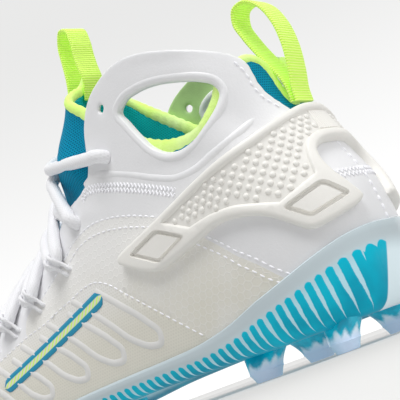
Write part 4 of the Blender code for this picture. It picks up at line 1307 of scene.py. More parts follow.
def new_grower(name, inputs):
    """Empty geometry tree with a Geometry input, the given inputs and a Material input."""
    inputs = (("Geometry", "Geometry", None), *inputs, ("Material", "Material", None))
    return new_tree(name, "GeometryNodeTree", inputs, (("Geometry", "Geometry"),))


def end_grower(wires, given, ends, grown):
    whole = wires.first("GeometryNodeRealizeInstances", {"Geometry": grown})
    sockets = {"Geometry": whole, "Material": given["Material"]}
    wires.feed(ends["Geometry"], wires.first("GeometryNodeSetMaterial", sockets))


def facing(wires):
    made = wires.node("GeometryNodeInputNamedAttribute", {"Name": "facing"}, data_type="FLOAT_VECTOR")
    return made.outputs["Attribute"]


def smooth_faces(wires, body):
    return wires.first("GeometryNodeSetShadeSmooth", {"Geometry": body})


def strewn(wires, spots, body, turned, scale):
    """Smooth bodies on points, turned, and scaled along their own three axes."""
    size = wires.first("ShaderNodeCombineXYZ", dict(enumerate(scale)))
    sockets = {"Points": spots, "Instance": smooth_faces(wires, body), "Rotation": turned, "Scale": size}
    return wires.first("GeometryNodeInstanceOnPoints", sockets)


@made_once
def bead_along_line(name):
    """Round bead along a line."""
    inputs = (("Radius", "Float", 0.001), ("Sides", "Int", 8))
    tree, wires, given, ends = new_grower(name, inputs)
    curve = wires.first("GeometryNodeMeshToCurve", {"Mesh": given["Geometry"]})
    sockets = {"Resolution": given["Sides"], "Radius": given["Radius"]}
    ring = wires.first("GeometryNodeCurvePrimitiveCircle", sockets)
    sockets = {"Curve": curve, "Profile Curve": ring, "Fill Caps": True}
    bead = wires.first("GeometryNodeCurveToMesh", sockets)
    end_grower(wires, given, ends, smooth_faces(wires, bead))
    return tree


@made_once
def stitches_along_line(name):
    """Row of stitches along a line, lying on the surface."""
    inputs = (("Step", "Float", 0.003), ("Length", "Float", 0.002), ("Width", "Float", 0.0006))
    tree, wires, given, ends = new_grower(name, inputs)
    curve = wires.first("GeometryNodeMeshToCurve", {"Mesh": given["Geometry"]})
    sockets = {"Curve": curve, "Length": given["Step"]}
    spots = wires.first("GeometryNodeResampleCurve", sockets, mode="LENGTH")
    ball = wires.first("GeometryNodeMeshIcoSphere", {"Radius": 0.5, "Subdivisions": 2})
    sockets = {"Vector": wires.first("GeometryNodeInputTangent")}
    turned = wires.first("FunctionNodeAlignRotationToVector", sockets, axis="X")
    sockets = {"Rotation": turned, "Vector": facing(wires)}
    turned = wires.first("FunctionNodeAlignRotationToVector", sockets, axis="Z", pivot_axis="X")
    scale = (given["Length"], given["Width"], given["Width"])
    end_grower(wires, given, ends, strewn(wires, spots, ball, turned, scale))
    return tree


@made_once
def dots_on_points(name):
    """Domed dots on scattered points, each facing away from the surface."""
    inputs = (("Radius", "Float", 0.001), ("Height", "Float", 0.0009))
    tree, wires, given, ends = new_grower(name, inputs)
    ball = wires.first("GeometryNodeMeshUVSphere", {"Segments": 10, "Rings": 6, "Radius": 1.0})
    turned = wires.first("FunctionNodeAlignRotationToVector", {"Vector": facing(wires)}, axis="Z")
    scale = (given["Radius"], given["Radius"], given["Height"])
    end_grower(wires, given, ends, strewn(wires, given["Geometry"], ball, turned, scale))
    return tree


def grow(name, tree, lines, values, look):
    """Piece grown by a geometry tree on lines of (points, normals, closed), in millimetres."""
    points, normals, edges = [], [], []
    for line, out, closed in lines:
        start = sum(len(p) for p in points)
        points.append(line)
        normals.append(out)
        if closed is not None:
            edges += [(start + k, start + k + 1) for k in range(len(line) - 1)]
        if closed:
            edges.append((start + len(line) - 1, start))
    source = bpy.data.meshes.new(name + "_lines")
    source.from_pydata((np.concatenate(points) - ORIGIN) * MM, edges, [])
    attribute = source.attributes.new("facing", "FLOAT_VECTOR", "POINT")
    attribute.data.foreach_set("vector", np.concatenate(normals).astype(np.float32).ravel())
    made = bpy.data.objects.new(name, source)
    bpy.context.scene.collection.objects.link(made)
    growth = made.modifiers.new(name, "NODES")
    growth.node_group = tree
    for item in tree.interface.items_tree:
        if item.in_out == "INPUT" and item.name in values:
            growth[item.identifier] = values[item.name]
        if item.in_out == "INPUT" and item.name == "Material":
            growth[item.identifier] = look
    evaluated = made.evaluated_get(bpy.context.evaluated_depsgraph_get())
    mesh = bpy.data.meshes.new_from_object(evaluated)
    if not mesh.polygons:
        raise RuntimeError(name + " grew no faces")
    made.modifiers.remove(growth)
    made.data = mesh
    mesh.name = name
    bpy.data.meshes.remove(source)
    claim(made)
    return made


def on_shoe(flat, lift, closed=False):
    """Line of pattern places as points and normals for grow."""
    points, normal = wrap_with_normal(flat[:, 0], flat[:, 1], lift)
    return points, normal, closed


def both_halves(line):
    return [np.asarray(line) * (side, 1) for side in (1, -1)]


def soft_folds(flat):
    """Lift of the upper's folds."""
    lift = np.zeros(len(flat))
    for u, v, length, width, turn, depth in SOFT_FOLDS:
        c, s = math.cos(math.radians(turn)), math.sin(math.radians(turn))
        du, dv = np.abs(flat[:, 0]) - u, flat[:, 1] - v
        along, across = c * du + s * dv, c * dv - s * du
        lift += depth * np.exp(-((along / length) ** 2) - (across / width) ** 2)
    return lift


class CLEAT_OT_upper(bpy.types.Operator):
    """Build the white upper with its film zones and lining"""

    bl_idname = "cleat.upper"
    bl_label = "Upper"

    def execute(self, context):
        pitch = sizes().sheet_pitch / MM
        zones = [smooth_loop(zone, pitch) for zone in (QUARTER_FILM, MESH_FILM)]
        holes = [smooth_loop(ANKLE_HOLE, 1.6), *(circle(*eyelet, 18) for eyelet in EYELETS)]
        hole_edges = [smooth_loop(ANKLE_HOLE, 0.4), *(circle(*eyelet, 40) for eyelet in EYELETS)]
        hole_creases = [inset(hole, reach) for reach in (-0.4, -1.0) for hole in holes]
        halves, outer, inner = [], [], []
        for side in (1, -1):
            outline = upper_outline(side, pitch)
            creases = [inset(outline, 0.45), inset(outline, 1.1), *hole_creases, *zones]
            points, triangles = cut_pattern(outline, pitch, holes, creases)
            edges = np.concatenate([throat_line(side, 0.4), wing_line(side, 0.4), *hole_edges])
            drop = rounding(distance(points, edges), UPPER_EDGE_ROUND)
            flat = points * (side, 1)
            fold = soft_folds(flat)
            halves.append((flat, triangles))
            outer.append(fold - drop)
            inner.append(np.minimum(fold, 0.0) * 0.6 - UPPER_WALL + drop)
        points, faces, places, layers = build_shell(halves, np.concatenate(outer), np.concatenate(inner))
        middle = np.array([np.mean(place, axis=0) for place in places])
        middle[:, 0] = np.abs(middle[:, 0])
        indices = np.zeros(len(faces), int)
        for k, zone in enumerate(zones):
            indices[(layers == 0) & inside(middle, zone)] = k + 1
        indices[layers == 1] = 3
        looks = [skin_finish(), hex_film_finish(), mesh_film_finish(), lining_finish()]
        add_piece("upper_skin", points, faces, looks, ["upper"], places, indices)
        return {"FINISHED"}


class CLEAT_OT_relief(bpy.types.Operator):
    """Build the raised beads and the printed bar of the upper"""

    bl_idname = "cleat.relief"
    bl_label = "Relief"

    def execute(self, context):
        hole = inset(smooth_loop(ANKLE_HOLE, 1.2), -1.9)
        ridge = smooth_line(WING_RIDGE, 1.2)
        from_end = np.minimum(np.arange(len(ridge)), np.arange(len(ridge))[::-1])
        ridge_lift = WING_BEAD_LIFT - WING_BEAD_SINK * (1 - ease(from_end / 12))
        fingers = [smooth_line(np.asarray(FINGER) * scale + (u, v), 1.2) for u, v, scale in FINGER_PLACES]
        skin = bpy.data.materials["skin_white"]
        beads = (
            ("hole_rims", [hole], HOLE_RIM_LIFT, True, HOLE_RIM_BEAD, skin),
            ("wing_ridges", [ridge], ridge_lift, False, WING_BEAD, skin),
            ("finger_ribs", fingers, FINGER_LIFT, False, FINGER_BEAD, film_bead_finish()),
        )
        for name, rows, lift, closed, size, look in beads:
            lines = [on_shoe(half, lift, closed) for row in rows for half in both_halves(row)]
            grow(name, bead_along_line(), lines, size, look)
        self.add_bar()
        return {"FINISHED"}

    def add_bar(self):
        line = smooth_line(SIDE_BAR, 1.5)
        across = sideways(unit(np.gradient(line, axis=0)))
        run = run_along(line)
        cap = np.minimum(1.0, np.minimum(run, run[-1] - run) / SIDE_BAR_HALF)
        half = SIDE_BAR_HALF * np.sqrt(np.maximum(0.04, 1 - (1 - cap) ** 2))
        spread = np.append(SIDE_BAR_SPREAD, 0.0)
        rings = []
        for offset, lift in zip(spread, (*SIDE_BAR_LIFT, SIDE_BAR_ROOT)):
            flat = line + offset * half[:, None] * across
            rings.append(wrap(flat[:, 0], flat[:, 1], lift))
        points = np.stack(rings, axis=1)
        n, m = points.shape[:2]
        faces, places = ring_faces(n, m, lambda a, b: (run[a], SIDE_BAR_HALF * spread[b % m]))
        add_piece("side_bar", points.reshape(-1, 3), faces, [side_bar_finish()], (), places)


class CLEAT_OT_stitching(bpy.types.Operator):
    """Build the rows of stitches on the upper"""

    bl_idname = "cleat.stitching"
    bl_label = "Stitching"

    def execute(self, context):
        look = thread_finish()
        size = sizes()
        values = {"Step": size.stitch_step, "Length": size.stitch_length, "Width": size.stitch_width}
        lines = self.rows(DASHED_SEAMS, 0.06)
        grow("film_stitches", stitches_along_line(), lines, values, look)
        lines = self.rows(EDGE_SEAMS, 0.12)
        lines.append(on_shoe(smooth_line(HEEL_SEAM, 1.0), 0.12))
        values["Width"] = 1.5 * size.stitch_width
        grow("edge_stitches", stitches_along_line(), lines, values, look)
        threads = [self.zigzag(smooth_line(seam, 0.95), row) for seam in ZIGZAG_SEAMS for row in (-1.0, 1.0)]
        lines = [on_shoe(half, 0.0) for thread in threads for half in both_halves(thread)]
        grow("zigzag_threads", bead_along_line(), lines, ZIGZAG_THREAD, look)
        return {"FINISHED"}

    def rows(self, seams, lift):
        return [on_shoe(half, lift) for seam in seams for half in both_halves(smooth_line(seam, 1.0))]

    def zigzag(self, line, row):
        """Thread that crosses a row beside a seam from side to side."""
        sway = row + ZIGZAG_SWAY * (-1.0) ** np.arange(len(line))
        return line + sway[:, None] * sideways(unit(np.gradient(line, axis=0)))


class CLEAT_OT_sleeve(bpy.types.Operator):
    """Build the knitted sleeve with its tongue and bound edge"""

    bl_idname = "cleat.sleeve"
    bl_label = "Sleeve"

    def execute(self, context):
        pitch = sizes().sheet_pitch / MM
        halves = []
        for side in (1, -1):
            points, triangles = cut_pattern(self.outline(side, pitch), pitch)
            halves.append((points * (side, 1), triangles))
        flat = np.concatenate([points for points, _ in halves])
        outer, inner = self.lifts(flat)
        points, faces, places, layers = build_shell(halves, outer, inner)
        indices = np.where(layers == 1, 1, 0)
        lit = colours().knit_inside
        looks = [
            knit_finish("sleeve_knit", colours().knit, colours().knit_shade),
            knit_finish("sleeve_inside", lit, tuple(0.86 * c for c in lit)),
        ]
        nodes = ["inner_sleeve"]
        made = add_piece("sleeve_knit", points, faces, looks, nodes, places, indices)
        self.add_binding()
        return {"FINISHED"}

    def top_line(self, side, step):
        peak = (TONGUE_PEAK_U, float(ridge_rise(side * TONGUE_PEAK_U)))
        return smooth_line([peak, *SLEEVE_TOP[::-1]], step)

    def outline(self, side, step):
        front = (SLEEVE_FRONT_U, float(ridge_rise(side * SLEEVE_FRONT_U)))
        heel = (0.0, float(SLEEVE_TOP[0][1]))
        foot_end = (SLEEVE_FRONT_U - 14, SLEEVE_FOOT)
        return chain(
            straight((0, SLEEVE_FOOT), foot_end, step),
            straight(foot_end, front, step),
            ridge_line(SLEEVE_FRONT_U, TONGUE_PEAK_U, side, step),
            self.top_line(side, step),
            straight(heel, (0, SLEEVE_FOOT), step),
        )

    def lifts(self, flat):
        """Outside and inside of the sleeve: padded in the tongue, and thinner toward its top edge."""
        outer = tongue_lift(flat)
        pad = TONGUE_PAD * tongue_share(flat)
        lateral = distance(flat, self.top_line(1, 1.1))
        medial = distance(flat * (-1, 1), self.top_line(-1, 1.1))
        edge = 1 - ease(np.minimum(lateral, medial) / 20)
        thin = 0.45 * pad * edge
        outer = outer - TONGUE_LEAN * tongue_share(flat) * edge
        return outer - thin, outer - SLEEVE_WALL - pad + thin

    def add_binding(self):
        lateral = self.top_line(1, 1.1)
        medial = self.top_line(-1, 1.1) * (-1, 1)
        flat = np.concatenate([lateral[::-1], medial[1:-1]])
        outer, inner = self.lifts(flat)
        path, normal = wrap_with_normal(flat[:, 0], flat[:, 1], 0.5 * (outer + inner))
        run = run_along(path)
        girth = np.abs(flat[:, 0])
        top = ease((girth - 108) / 12)
        dip = ease((girth - 50) / 20) * ease((118 - girth) / 12)
        lump = 1 + (0.03 + 0.03 * dip) * np.sin(2 * np.pi * run / LUMP_PITCH)
        lump += 0.02 * np.sin(2 * np.pi * run / FINE_LUMP_PITCH)
        wide = (BINDING_HALF + BINDING_TOP * top + BINDING_DIP * dip) * lump
        thick = (0.5 * (outer - inner) + BINDING_PLUMP) * lump
        profile = oval(wide[:, None], thick[:, None], 14)
        points, faces, places = sweep(path, normal, profile, True)
        add_piece("sleeve_binding", points, faces, [binding_finish()], (), places)


class CLEAT_OT_heel_strap(bpy.types.Operator):
    """Build the moulded heel strap with its dots"""

    bl_idname = "cleat.heel_strap"
    bl_label = "Heel strap"

    def execute(self, context):
        size = sizes()
        pitch = size.strap_pitch / MM
        outline = mirrored(half_outline(STRAP_HALF, pitch))
        field = mirrored(half_outline(FIELD_HALF, pitch))
        frames = [spaced(rounded_corners(window, WINDOW_ROUND), pitch) for window in STRAP_WINDOWS]
        frames = [window * (side, 1) for window in frames for side in (1, -1)]
        creases = [inset(outline, reach) for reach in (0.35, 0.9, 1.6)]
        creases += [inset(field, reach) for reach in (-0.7, -0.2, 0.2)]
        creases += [inset(window, reach) for window in frames for side in GROOVE_SIDES for reach in side]
        points, triangles = cut_pattern(outline, pitch, (), creases)
        lift = STRAP_RIM - rounding(distance(points, spaced(outline, 0.3)), STRAP_ROUND)
        lift -= FIELD_CHAMFER * self.depth_in(points, field, -0.7, -0.2)
        sunk = STRAP_RIM - (STRAP_RIM - STRAP_FIELD) * self.depth_in(points, field, -0.2, 0.2)
        lift = np.minimum(lift, sunk)
        for window in frames:
            groove, plate = (self.depth_in(points, window, *side) for side in GROOVE_SIDES)
            sunk = STRAP_RIM - (STRAP_RIM - STRAP_GROOVE) * groove + (STRAP_PLATE - STRAP_GROOVE) * plate
            lift = np.minimum(lift, sunk)
        points, faces, places, _ = build_shell([(points, triangles)], lift, -0.3)
        look = strap_finish()
        add_piece("strap_body", points, faces, [look], ["heel_strap"], places, None, 50)
        self.add_dots(field, size, look)
        count = int(RIBS_HALF / RIB_PITCH)
        ribs = []
        for k in range(-count, count + 1):
            foot, top = ((k * RIB_PITCH, rise) for rise in RIB_RISES)
            ribs.append(on_shoe(straight(foot, top, 0.8), STRAP_FIELD))
        grow("strap_ribs", bead_along_line(), ribs, STRAP_RIB_BEAD, look)
        return {"FINISHED"}

    def depth_in(self, points, loop, start, end):
        """0 outside a loop and 1 inside it, smooth between two distances from it."""
        away = distance(points, spaced(loop, 0.2))
        signed = np.where(inside(points, loop), away, -away)
        return ease((signed - start) / (end - start))

    def add_dots(self, field, size, look):
        pitch = size.dot_pitch / MM
        first, second = pitch * np.array(DOT_STEPS)
        steps = range(-40, 41)
        grid = np.array([DOT_START + a * first + b * second for a in steps for b in steps])
        grid = grid[grid[:, 0] > RIBS_HALF + 0.8]
        grid = grid[inside(grid, field)]
        grid = grid[distance(grid, spaced(field, 0.3)) > 0.95]
        lines = [on_shoe(grid * (side, 1), STRAP_FIELD, None) for side in (1, -1)]
        values = {"Radius": size.dot_radius, "Height": 0.6 * size.dot_radius}
        grow("strap_dots", dots_on_points(), lines, values, look)


def both_sides(count):
    """Girths from the heel to the toe, closer together round the two ends."""
    t = np.linspace(0, 1, count)
    return HALF_GIRTH * (t - 0.085 * np.sin(2 * np.pi * t))


def blade_ring(stud, height, share):
    """Rounded blade section of a stud at one height."""
    place = dict(zip(STUD_COLUMNS, stud))
    turn = math.radians(place["turn"])
    c, s = oval(1.0, 1.0, STUD_SIDES).T
    blade_x = place["length"] / 2 * np.sign(c) * np.abs(c) ** 0.7
    blade_y = place["width"] / 2 * np.sign(s) * np.abs(s) ** 0.8
    x = place["x"] + share * (blade_x * math.cos(turn) - blade_y * math.sin(turn))
    y = place["y"] + share * (blade_x * math.sin(turn) + blade_y * math.cos(turn))
    return np.stack([x, y, np.full(STUD_SIDES, height)], -1)


def tower(rings, rises):
    """Closed stack of rings with flat ends, and the place of each face corner: round it, and its rise."""
    n = len(rings[0])
    return np.concatenate(rings), *ring_faces(len(rings), n, lambda a, b: (b / n, rises[a]))


class CLEAT_OT_plate(bpy.types.Operator):
    """Build the clear plate, its stud bodies and the stud tips"""

    bl_idname = "cleat.plate"
    bl_label = "Plate and studs"

    def execute(self, context):
        self.add_tray()
        self.add_studs()
        return {"FINISHED"}

    def ring_at(self, u, rise, lift, drop=0.0, pull_in=0.0):
        """Ring round the shoe, wrapped at a rise and lift, then dropped and drawn in level."""
        sides = []
        for side in (1, -1):
            place = wrap(side * u, rise, lift)
            if pull_in:
                place = place - pull_in * unit(last_normal(side * u, np.zeros(len(u))) * (1, 1, 0))
            sides.append(place - (0, 0, drop))
        return np.concatenate([sides[0], sides[1][-2:0:-1]])

    def add_tray(self):
        u = both_sides(PLATE_POSTS)
        rim = cubic(u, RIM[:, 0], RIM[:, 1])
        outside = np.stack([self.ring_at(u, share * rim, *rest) for share, *rest in PLATE_OUTSIDE])
        count = len(outside)
        fine = np.linspace(0, count - 1, PLATE_LEVELS)
        levels = np.arange(float(count))
        rings = [cubic(t, levels, outside.reshape(count, -1)).reshape(-1, 3) for t in fine]
        rings.append(self.ring_at(u, rim + 0.35, 0.5 * (RIM_OUT - 0.5 + CLEARANCE)))
        rings.append(self.ring_at(u, rim, CLEARANCE))
        rings.append(self.ring_at(u, 0.5 * rim, CLEARANCE))
        rings.append(self.ring_at(u, 0.0, CLEARANCE, FLOOR_DROP))
        rings = np.array(rings)
        steps = np.linalg.norm(np.diff(rings[:PLATE_LEVELS], axis=0), axis=-1)
        below = np.concatenate([np.cumsum(steps[::-1], axis=0)[::-1], np.zeros((1, rings.shape[1]))])
        edge = np.searchsorted(fine, 1.0)
        girth = np.concatenate([u, -u[-2:0:-1]])
        band = np.interp(np.abs(girth), BAR_BAND[:, 0], BAR_BAND[:, 1])
        depth = (below - band) / (below[edge] - band)
        below = np.concatenate([below - band, np.tile(-band, (4, 1))])
        depth = np.concatenate([depth, np.full((4, rings.shape[1]), -1.0)])
        self.close_tray(rings, np.abs(girth), below, depth)

    def close_tray(self, rings, girth, below, depth):
        n, ring = rings.shape[:2]
        phase = np.interp(girth, BAR_GAPS[:, 0], BAR_GAPS[:, 1])

        def place(level, k):
            return phase[k % ring], below[level, k % ring]

        faces, places = ring_faces(n, ring, place, caps=False)
        last = PLATE_POSTS - 1
        medial = [0] + [ring - k for k in range(1, last)] + [last]
        for level in (0, n - 1):
            for k in range(last):
                face = list(dict.fromkeys((k, k + 1, medial[k + 1], medial[k])))
                if len(face) > 2:
                    faces.append([level * ring + b for b in face])
                    places.append([place(level, b) for b in face])
        points, looks, nodes = rings.reshape(-1, 3), [plate_finish()], ["sole_plate"]
        made = add_piece("plate_body", points, faces, looks, nodes, places, None, 50)
        for name, values in (("bar_depth", depth), ("bar_girth", np.tile(girth, (n, 1)))):
            attribute = made.data.attributes.new(name, "FLOAT", "POINT")
            attribute.data.foreach_set("value", values.astype(np.float32).ravel())

    def add_studs(self):
        rises = np.linspace(0, 1, 15)
        foot = TIP_HEIGHT - STUD_SINK
        heights = foot + (STUD_TOP - foot) * rises
        swell = STUD_NECK + (STUD_FLARE - STUD_NECK) * rises**1.5
        drift = STUD_LEAN_IN * rises**1.5
        bodies = []
        for stud in STUDS:
            inward = np.array((0.0, -np.sign(stud[2]), 0.0))
            rings = [blade_ring(stud, z, s) + d * inward for z, s, d in zip(heights, swell, drift)]
            bodies.append(tower(rings, rises))
        points, faces, places = joined(bodies)
        add_piece("stud_bodies", points, faces, [stud_finish()], (), places, None, 50)
        look = tip_finish()
        for stud in STUDS:
            rings = [blade_ring(stud, z, s) for z, s in TIP_RINGS]
            points, faces, places = tower(rings, [z for z, _ in TIP_RINGS])
            nodes = ["stud_tip_" + stud[0]]
            add_piece("tip_" + stud[0], points, faces, [look], nodes, places, None, 50)


class CLEAT_OT_laces(bpy.types.Operator):
    """Build the lace and the lace loops"""

    bl_idname = "cleat.laces"
    bl_label = "Laces"

    def execute(self, context):
        size = sizes()
        radius = size.lace_radius / MM
        bodies = []
        for side in (1, -1):
            bodies.append(self.cord(self.bar(0, 1, side, radius), radius))
            strand = []
            for row in range(1, LAST_ROW):
                half = side * (-1) ** row
                strand.append(self.bar(row, row + 1, half, radius))
                strand.append(self.turn(row + 1, -half, radius))
            bodies.append(self.cord(np.concatenate(strand), radius))
        first, last = (self.turn(LAST_ROW, side, radius) for side in (1, -1))
        across = np.concatenate([first, self.bar(LAST_ROW, LAST_ROW, 1, radius), last])
        bodies.append(self.cord(across, radius))
        points, faces, places = joined(bodies)
        nodes = ["lace_crossing_%d" % (k + 1) for k in range(LAST_ROW)]
        look = cord_finish("lace_cord", 4.0, 14.0)
        add_piece("lace", points, faces, [look], nodes, places, None, 60)
        self.add_loops(size.loop_radius / MM, radius)
        return {"FINISHED"}

    def cord(self, points, radius):
        """Round cord through places with their normals."""
        fine = smooth_line(points, 1.2)
        return sweep(fine[:, :3], fine[:, 3:], oval(radius, 0.94 * radius, 16))

    def placed(self, flat, lift):
        """Points on the shoe with their normals beside them."""
        return np.concatenate(wrap_with_normal(flat[:, 0], flat[:, 1], lift), axis=1)

    def loop_end(self, row):
        u, v, _ = LACE_ROWS[row]
        return np.array((u + 1.0, v + LOOP_REACH + 2.6))

    def cord_lift(self, flat, radius):
        """Lift of a lace's middle that clears the tongue and the upper for a short way round each point."""
        highest = np.zeros(len(flat))
        for angle in np.radians(np.arange(0, 360, 45)):
            beside = flat + LACE_REACH * np.array((np.cos(angle), np.sin(angle)))
            beside[:, 1] = np.minimum(beside[:, 1], ridge_rise(beside[:, 0]))
            highest = np.maximum(highest, tongue_lift(beside))
        return highest + radius + LACE_LIFT

    def bar(self, first, last, side, radius):
        """Lace from a row on one side, over the tongue, to a row on the other side."""
        cross_u = LACE_ROWS[first][2]
        over = (side > 0) == (first % 2 == 0)
        halves = []
        for row, half, order in ((first, side, 1), (last, -side, -1)):
            lead = self.lead_in(row, half, order if first != last else 1, cross_u, radius)
            gap = float(ridge_rise(half * LACE_ROWS[row][0])) - LACE_ROWS[row][1]
            reach = min(CREST_REACH, 0.4 * gap) * np.array((1.0, 0.5, 0.0))
            u = cross_u + np.array((-3.0, -1.2, 0.0) if order > 0 else (1.2, 0.6, 0.0))
            flat = np.stack([half * u, ridge_rise(half * u) - reach], -1)
            lift = self.cord_lift(flat, radius) + (OVER_LIFT if over else UNDER_LIFT) * CREST_SHARES
            crest = self.placed(flat, lift)
            share = np.linspace(0, 1, 7)[1:-1, None]
            taut = lead[-1] + share * (crest[0] - lead[-1])
            taut[:, :3] += LACE_BOW * 4 * share * (1 - share) * taut[:, 3:]
            halves.append(np.concatenate([lead, taut, crest])[::order])
        return np.concatenate([halves[0], halves[1][1:]])

    def lead_in(self, row, half, order, cross_u, radius):
        """A lace's end: through its eyelet, under the facing where it comes back out, or at its loop."""
        u, v, _ = LACE_ROWS[row]
        if row >= len(EYELET_ROWS):
            flat = np.array([self.loop_end(row) + order * LACE_APART / 2 * LOOP_BESIDE]) * (half, 1)
            return self.placed(flat, self.cord_lift(flat, radius))
        if row == 1 and order > 0:
            return self.placed(np.array([(half * (u + 5.5), v + 4.0)]), -3.4)
        toward = unit(np.array((cross_u - u, float(ridge_rise(half * cross_u)) - v)))
        flat = ((u, v) + np.outer(EYELET_REACH, toward)) * (half, 1)
        return self.placed(flat, EYELET_LIFT)

    def turn(self, row, half, radius):
        """Middle of the lace's turn inside a lace loop."""
        flat = np.array([self.loop_end(row) + TURN_REACH * LOOP_LEAN]) * (half, 1)
        return self.placed(flat, self.cord_lift(flat, radius))

    def add_loops(self, cord, lace):
        """Loops of two legs each, from the upper, over the lace and down behind it."""
        look = cord_finish("loop_cord", 2.4, 6.0)
        top = CLEARANCE + 2 * lace + cord + 0.6
        leg = (
            (1.0, -0.6), (0.94, 0.6), (0.75, 1.6), (0.56, 3.6), (0.42, top - 0.7),
            (0.26, top), (0.08, top - 0.5), (-0.06, top - 2.4), (-0.1, top - 4.4),
        )
        for row in range(len(EYELET_ROWS), len(LACE_ROWS)):
            for side, label in ((1, "lateral"), (-1, "medial")):
                legs = []
                for spread in (-LOOP_HALF, LOOP_HALF):
                    foot = self.loop_end(row) + spread * LOOP_BESIDE
                    legs.append([(*(foot + share * LOOP_LENGTH * LOOP_LEAN), lift) for share, lift in leg])
                line = smooth_line(legs[0] + legs[1][::-1], 0.6)
                path, out = wrap_with_normal(side * line[:, 0], line[:, 1], line[:, 2])
                points, faces, places = sweep(path, out, oval(cord, cord, 10))
                name = "lace_loop_%s_%d" % (label, row - len(EYELET_ROWS) + 1)
                add_piece("cord_" + name, points, faces, [look], [name], places, None, 60)


class CLEAT_OT_pull_loops(bpy.types.Operator):
    """Build the two pull loops of ribbed webbing"""

    bl_idname = "cleat.pull_loops"
    bl_label = "Pull loops"

    def execute(self, context):
        look = webbing_finish()
        self.add_loop("heel_pull_loop", HEEL_PULL, 0.0, 0.0, 0.0, look)
        self.add_loop("tongue_pull_loop", TONGUE_PULL, 0.6, TONGUE_PULL_TURN, TONGUE_PULL_LEAN, look)
        return {"FINISHED"}

    def add_loop(self, name, route, middle_y, turn, lean, look):
        """Flat webbing with rounded edges, bent along a route in the plane of the shoe's middle."""
        line = smooth_line(route, 0.5)
        along = unit(np.gradient(line, axis=0))
        out = np.stack([-along[:, 1], np.zeros(len(line)), along[:, 0]], -1)
        path = np.stack([line[:, 0], np.full(len(line), middle_y), line[:, 1]], -1)
        wide, thick = WEBBING_WIDE / 2, WEBBING_THICK / 2
        edge = np.linspace(0, np.pi / 2, 3)
        corner = np.stack([wide - thick * (1 - np.cos(edge)), thick * np.sin(edge)], -1)
        flat = np.linspace(wide - thick, -(wide - thick), 9)[1:-1]
        upper = np.concatenate([corner, np.stack([flat, np.full(7, thick)], -1), (corner * (-1, 1))[::-1]])
        profile = np.concatenate([upper, (upper * (1, -1))[-2:0:-1]])
        points, faces, places = sweep(path, out, profile)
        foot, top = line[:, 1].min(), line[:, 1].max()
        rise = (points[:, 2] - foot) / (top - foot)
        angle = -math.radians(turn) * ease(2 * rise)
        x, y = points[:, 0] - line[:, 0].mean(), points[:, 1] - middle_y
        points[:, 0] += x * (np.cos(angle) - 1) - y * np.sin(angle) - lean * rise
        points[:, 1] += x * np.sin(angle) + y * (np.cos(angle) - 1)
        spread = np.append(profile[:, 0], profile[0, 0])
        count = len(profile)
        places = [[(run, spread[int(round(share * count))]) for run, share in place] for place in places]
        add_piece("webbing_" + name, points, faces, [look], [name], places, None, 60)


class CLEAT_OT_insole(bpy.types.Operator):
    """Give the insole its cloth finish"""

    bl_idname = "cleat.insole"
    bl_label = "Insole"

    def execute(self, context):
        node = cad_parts["insole"]
        look = insole_finish()
        for slot in node.material_slots:
            slot.material = look
        return {"FINISHED"}


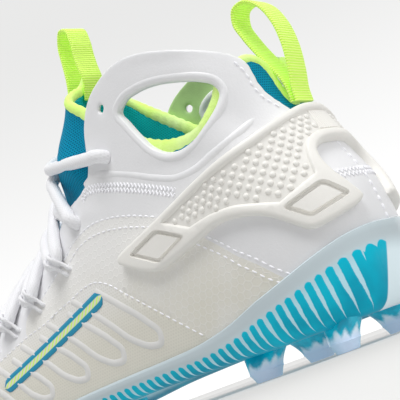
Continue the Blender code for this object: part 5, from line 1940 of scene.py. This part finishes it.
class CLEAT_OT_stage(bpy.types.Operator):
    """Set up the floor, the lights, the backdrop and the camera"""

    bl_idname = "cleat.stage"
    bl_label = "Stage"

    def execute(self, context):
        scene = context.scene
        floor = self.arc(np.linspace(0, 2 * np.pi, FLOOR_SIDES, endpoint=False))
        self.add_stage("floor", floor, [tuple(range(FLOOR_SIDES))], floor_finish())
        spread = np.linspace(-BACKDROP_HALF_TURN, BACKDROP_HALF_TURN, BACKDROP_POSTS)
        foot = self.arc(math.radians(BACKDROP_MIDDLE) + spread)
        wall = np.concatenate([foot, foot + (0, 0, BACKDROP_HEIGHT)])
        faces = [(k + 1, k, k + BACKDROP_POSTS, k + BACKDROP_POSTS + 1) for k in range(BACKDROP_POSTS - 1)]
        self.add_stage("backdrop", wall, faces, backdrop_finish())
        world = bpy.data.worlds.new("pale_studio")
        world.use_nodes = True
        sky = world.node_tree.nodes["Background"]
        sky.inputs["Color"].default_value = SKY_COLOUR
        sky.inputs["Strength"].default_value = SKY_STRENGTH
        scene.world = world
        scene.view_settings.view_transform = "Standard"
        for name, light in LIGHTS.items():
            self.add_light(name, *light)
        self.add_camera(scene)
        return {"FINISHED"}

    def arc(self, turn):
        """Points of the stage's rim at the given turns."""
        level = np.full(len(turn), STAGE_LEVEL)
        return np.stack([STAGE_RADIUS * np.cos(turn), STAGE_RADIUS * np.sin(turn), level], -1)

    def add_stage(self, name, points, faces, look):
        mesh = bpy.data.meshes.new(name)
        mesh.from_pydata(points, [], faces)
        mesh.materials.append(look)
        made = bpy.data.objects.new(name, mesh)
        bpy.context.scene.collection.objects.link(made)

    def add_light(self, name, place, size, power):
        lamp = bpy.data.lights.new(name, "AREA")
        lamp.shape = "DISK"
        lamp.size = size
        lamp.energy = power
        made = bpy.data.objects.new(name, lamp)
        aim = LIGHT_AIM - Vector(place)
        made.location = place
        made.rotation_euler = aim.to_track_quat("-Z", "Y").to_euler()
        bpy.context.scene.collection.objects.link(made)

    def add_camera(self, scene):
        azimuth, elevation = math.radians(CAMERA_AZIMUTH), math.radians(CAMERA_ELEVATION)
        roll = math.radians(CAMERA_ROLL)
        level = math.cos(elevation)
        back = Vector((math.sin(azimuth) * level, -math.cos(azimuth) * level, math.sin(elevation)))
        right = (-back).cross(Vector((0, 0, 1))).normalized()
        up = right.cross(-back)
        turned_right = right * math.cos(roll) + up * math.sin(roll)
        turned_up = up * math.cos(roll) - right * math.sin(roll)
        lens = bpy.data.cameras.new("camera")
        lens.sensor_width = SENSOR_WIDTH
        lens.lens = CAMERA_FOCUS_PIXELS * SENSOR_WIDTH / PHOTO_PIXELS
        lens.clip_start = 0.01
        made = bpy.data.objects.new("camera", lens)
        scene.collection.objects.link(made)
        turn = Matrix((turned_right, turned_up, back)).transposed()
        made.matrix_world = Matrix.Translation(CAMERA_PLACE) @ turn.to_4x4()
        scene.camera = made


class CLEAT_PT_panel(bpy.types.Panel):
    """Lists the sizes, the colours and the steps of the dressing"""

    bl_idname = "CLEAT_PT_panel"
    bl_label = "Cleat"
    bl_space_type = "VIEW_3D"
    bl_region_type = "UI"
    bl_category = "Cleat"

    def draw(self, context):
        column = self.layout.column()
        for group in (context.scene.cleat_sizes, context.scene.cleat_colours):
            for name in group.__annotations__:
                column.prop(group, name)
        for step in OPERATORS:
            column.operator(step.bl_idname)


OPERATORS = (
    CLEAT_OT_stage,
    CLEAT_OT_upper,
    CLEAT_OT_relief,
    CLEAT_OT_stitching,
    CLEAT_OT_sleeve,
    CLEAT_OT_heel_strap,
    CLEAT_OT_plate,
    CLEAT_OT_laces,
    CLEAT_OT_pull_loops,
    CLEAT_OT_insole,
)
CLASSES = (CleatSizes, CleatColours, *OPERATORS, CLEAT_PT_panel)


def register():
    for each in CLASSES:
        bpy.utils.register_class(each)
    bpy.types.Scene.cleat_sizes = bpy.props.PointerProperty(type=CleatSizes)
    bpy.types.Scene.cleat_colours = bpy.props.PointerProperty(type=CleatColours)


def unregister():
    del bpy.types.Scene.cleat_colours
    del bpy.types.Scene.cleat_sizes
    for each in reversed(CLASSES):
        bpy.utils.unregister_class(each)


def main():
    register()
    bpy.ops.cleat.stage()
    bpy.ops.cleat.upper()
    bpy.ops.cleat.relief()
    bpy.ops.cleat.stitching()
    bpy.ops.cleat.sleeve()
    bpy.ops.cleat.heel_strap()
    bpy.ops.cleat.plate()
    bpy.ops.cleat.laces()
    bpy.ops.cleat.pull_loops()
    bpy.ops.cleat.insole()


if __name__ == "__main__":
    main()
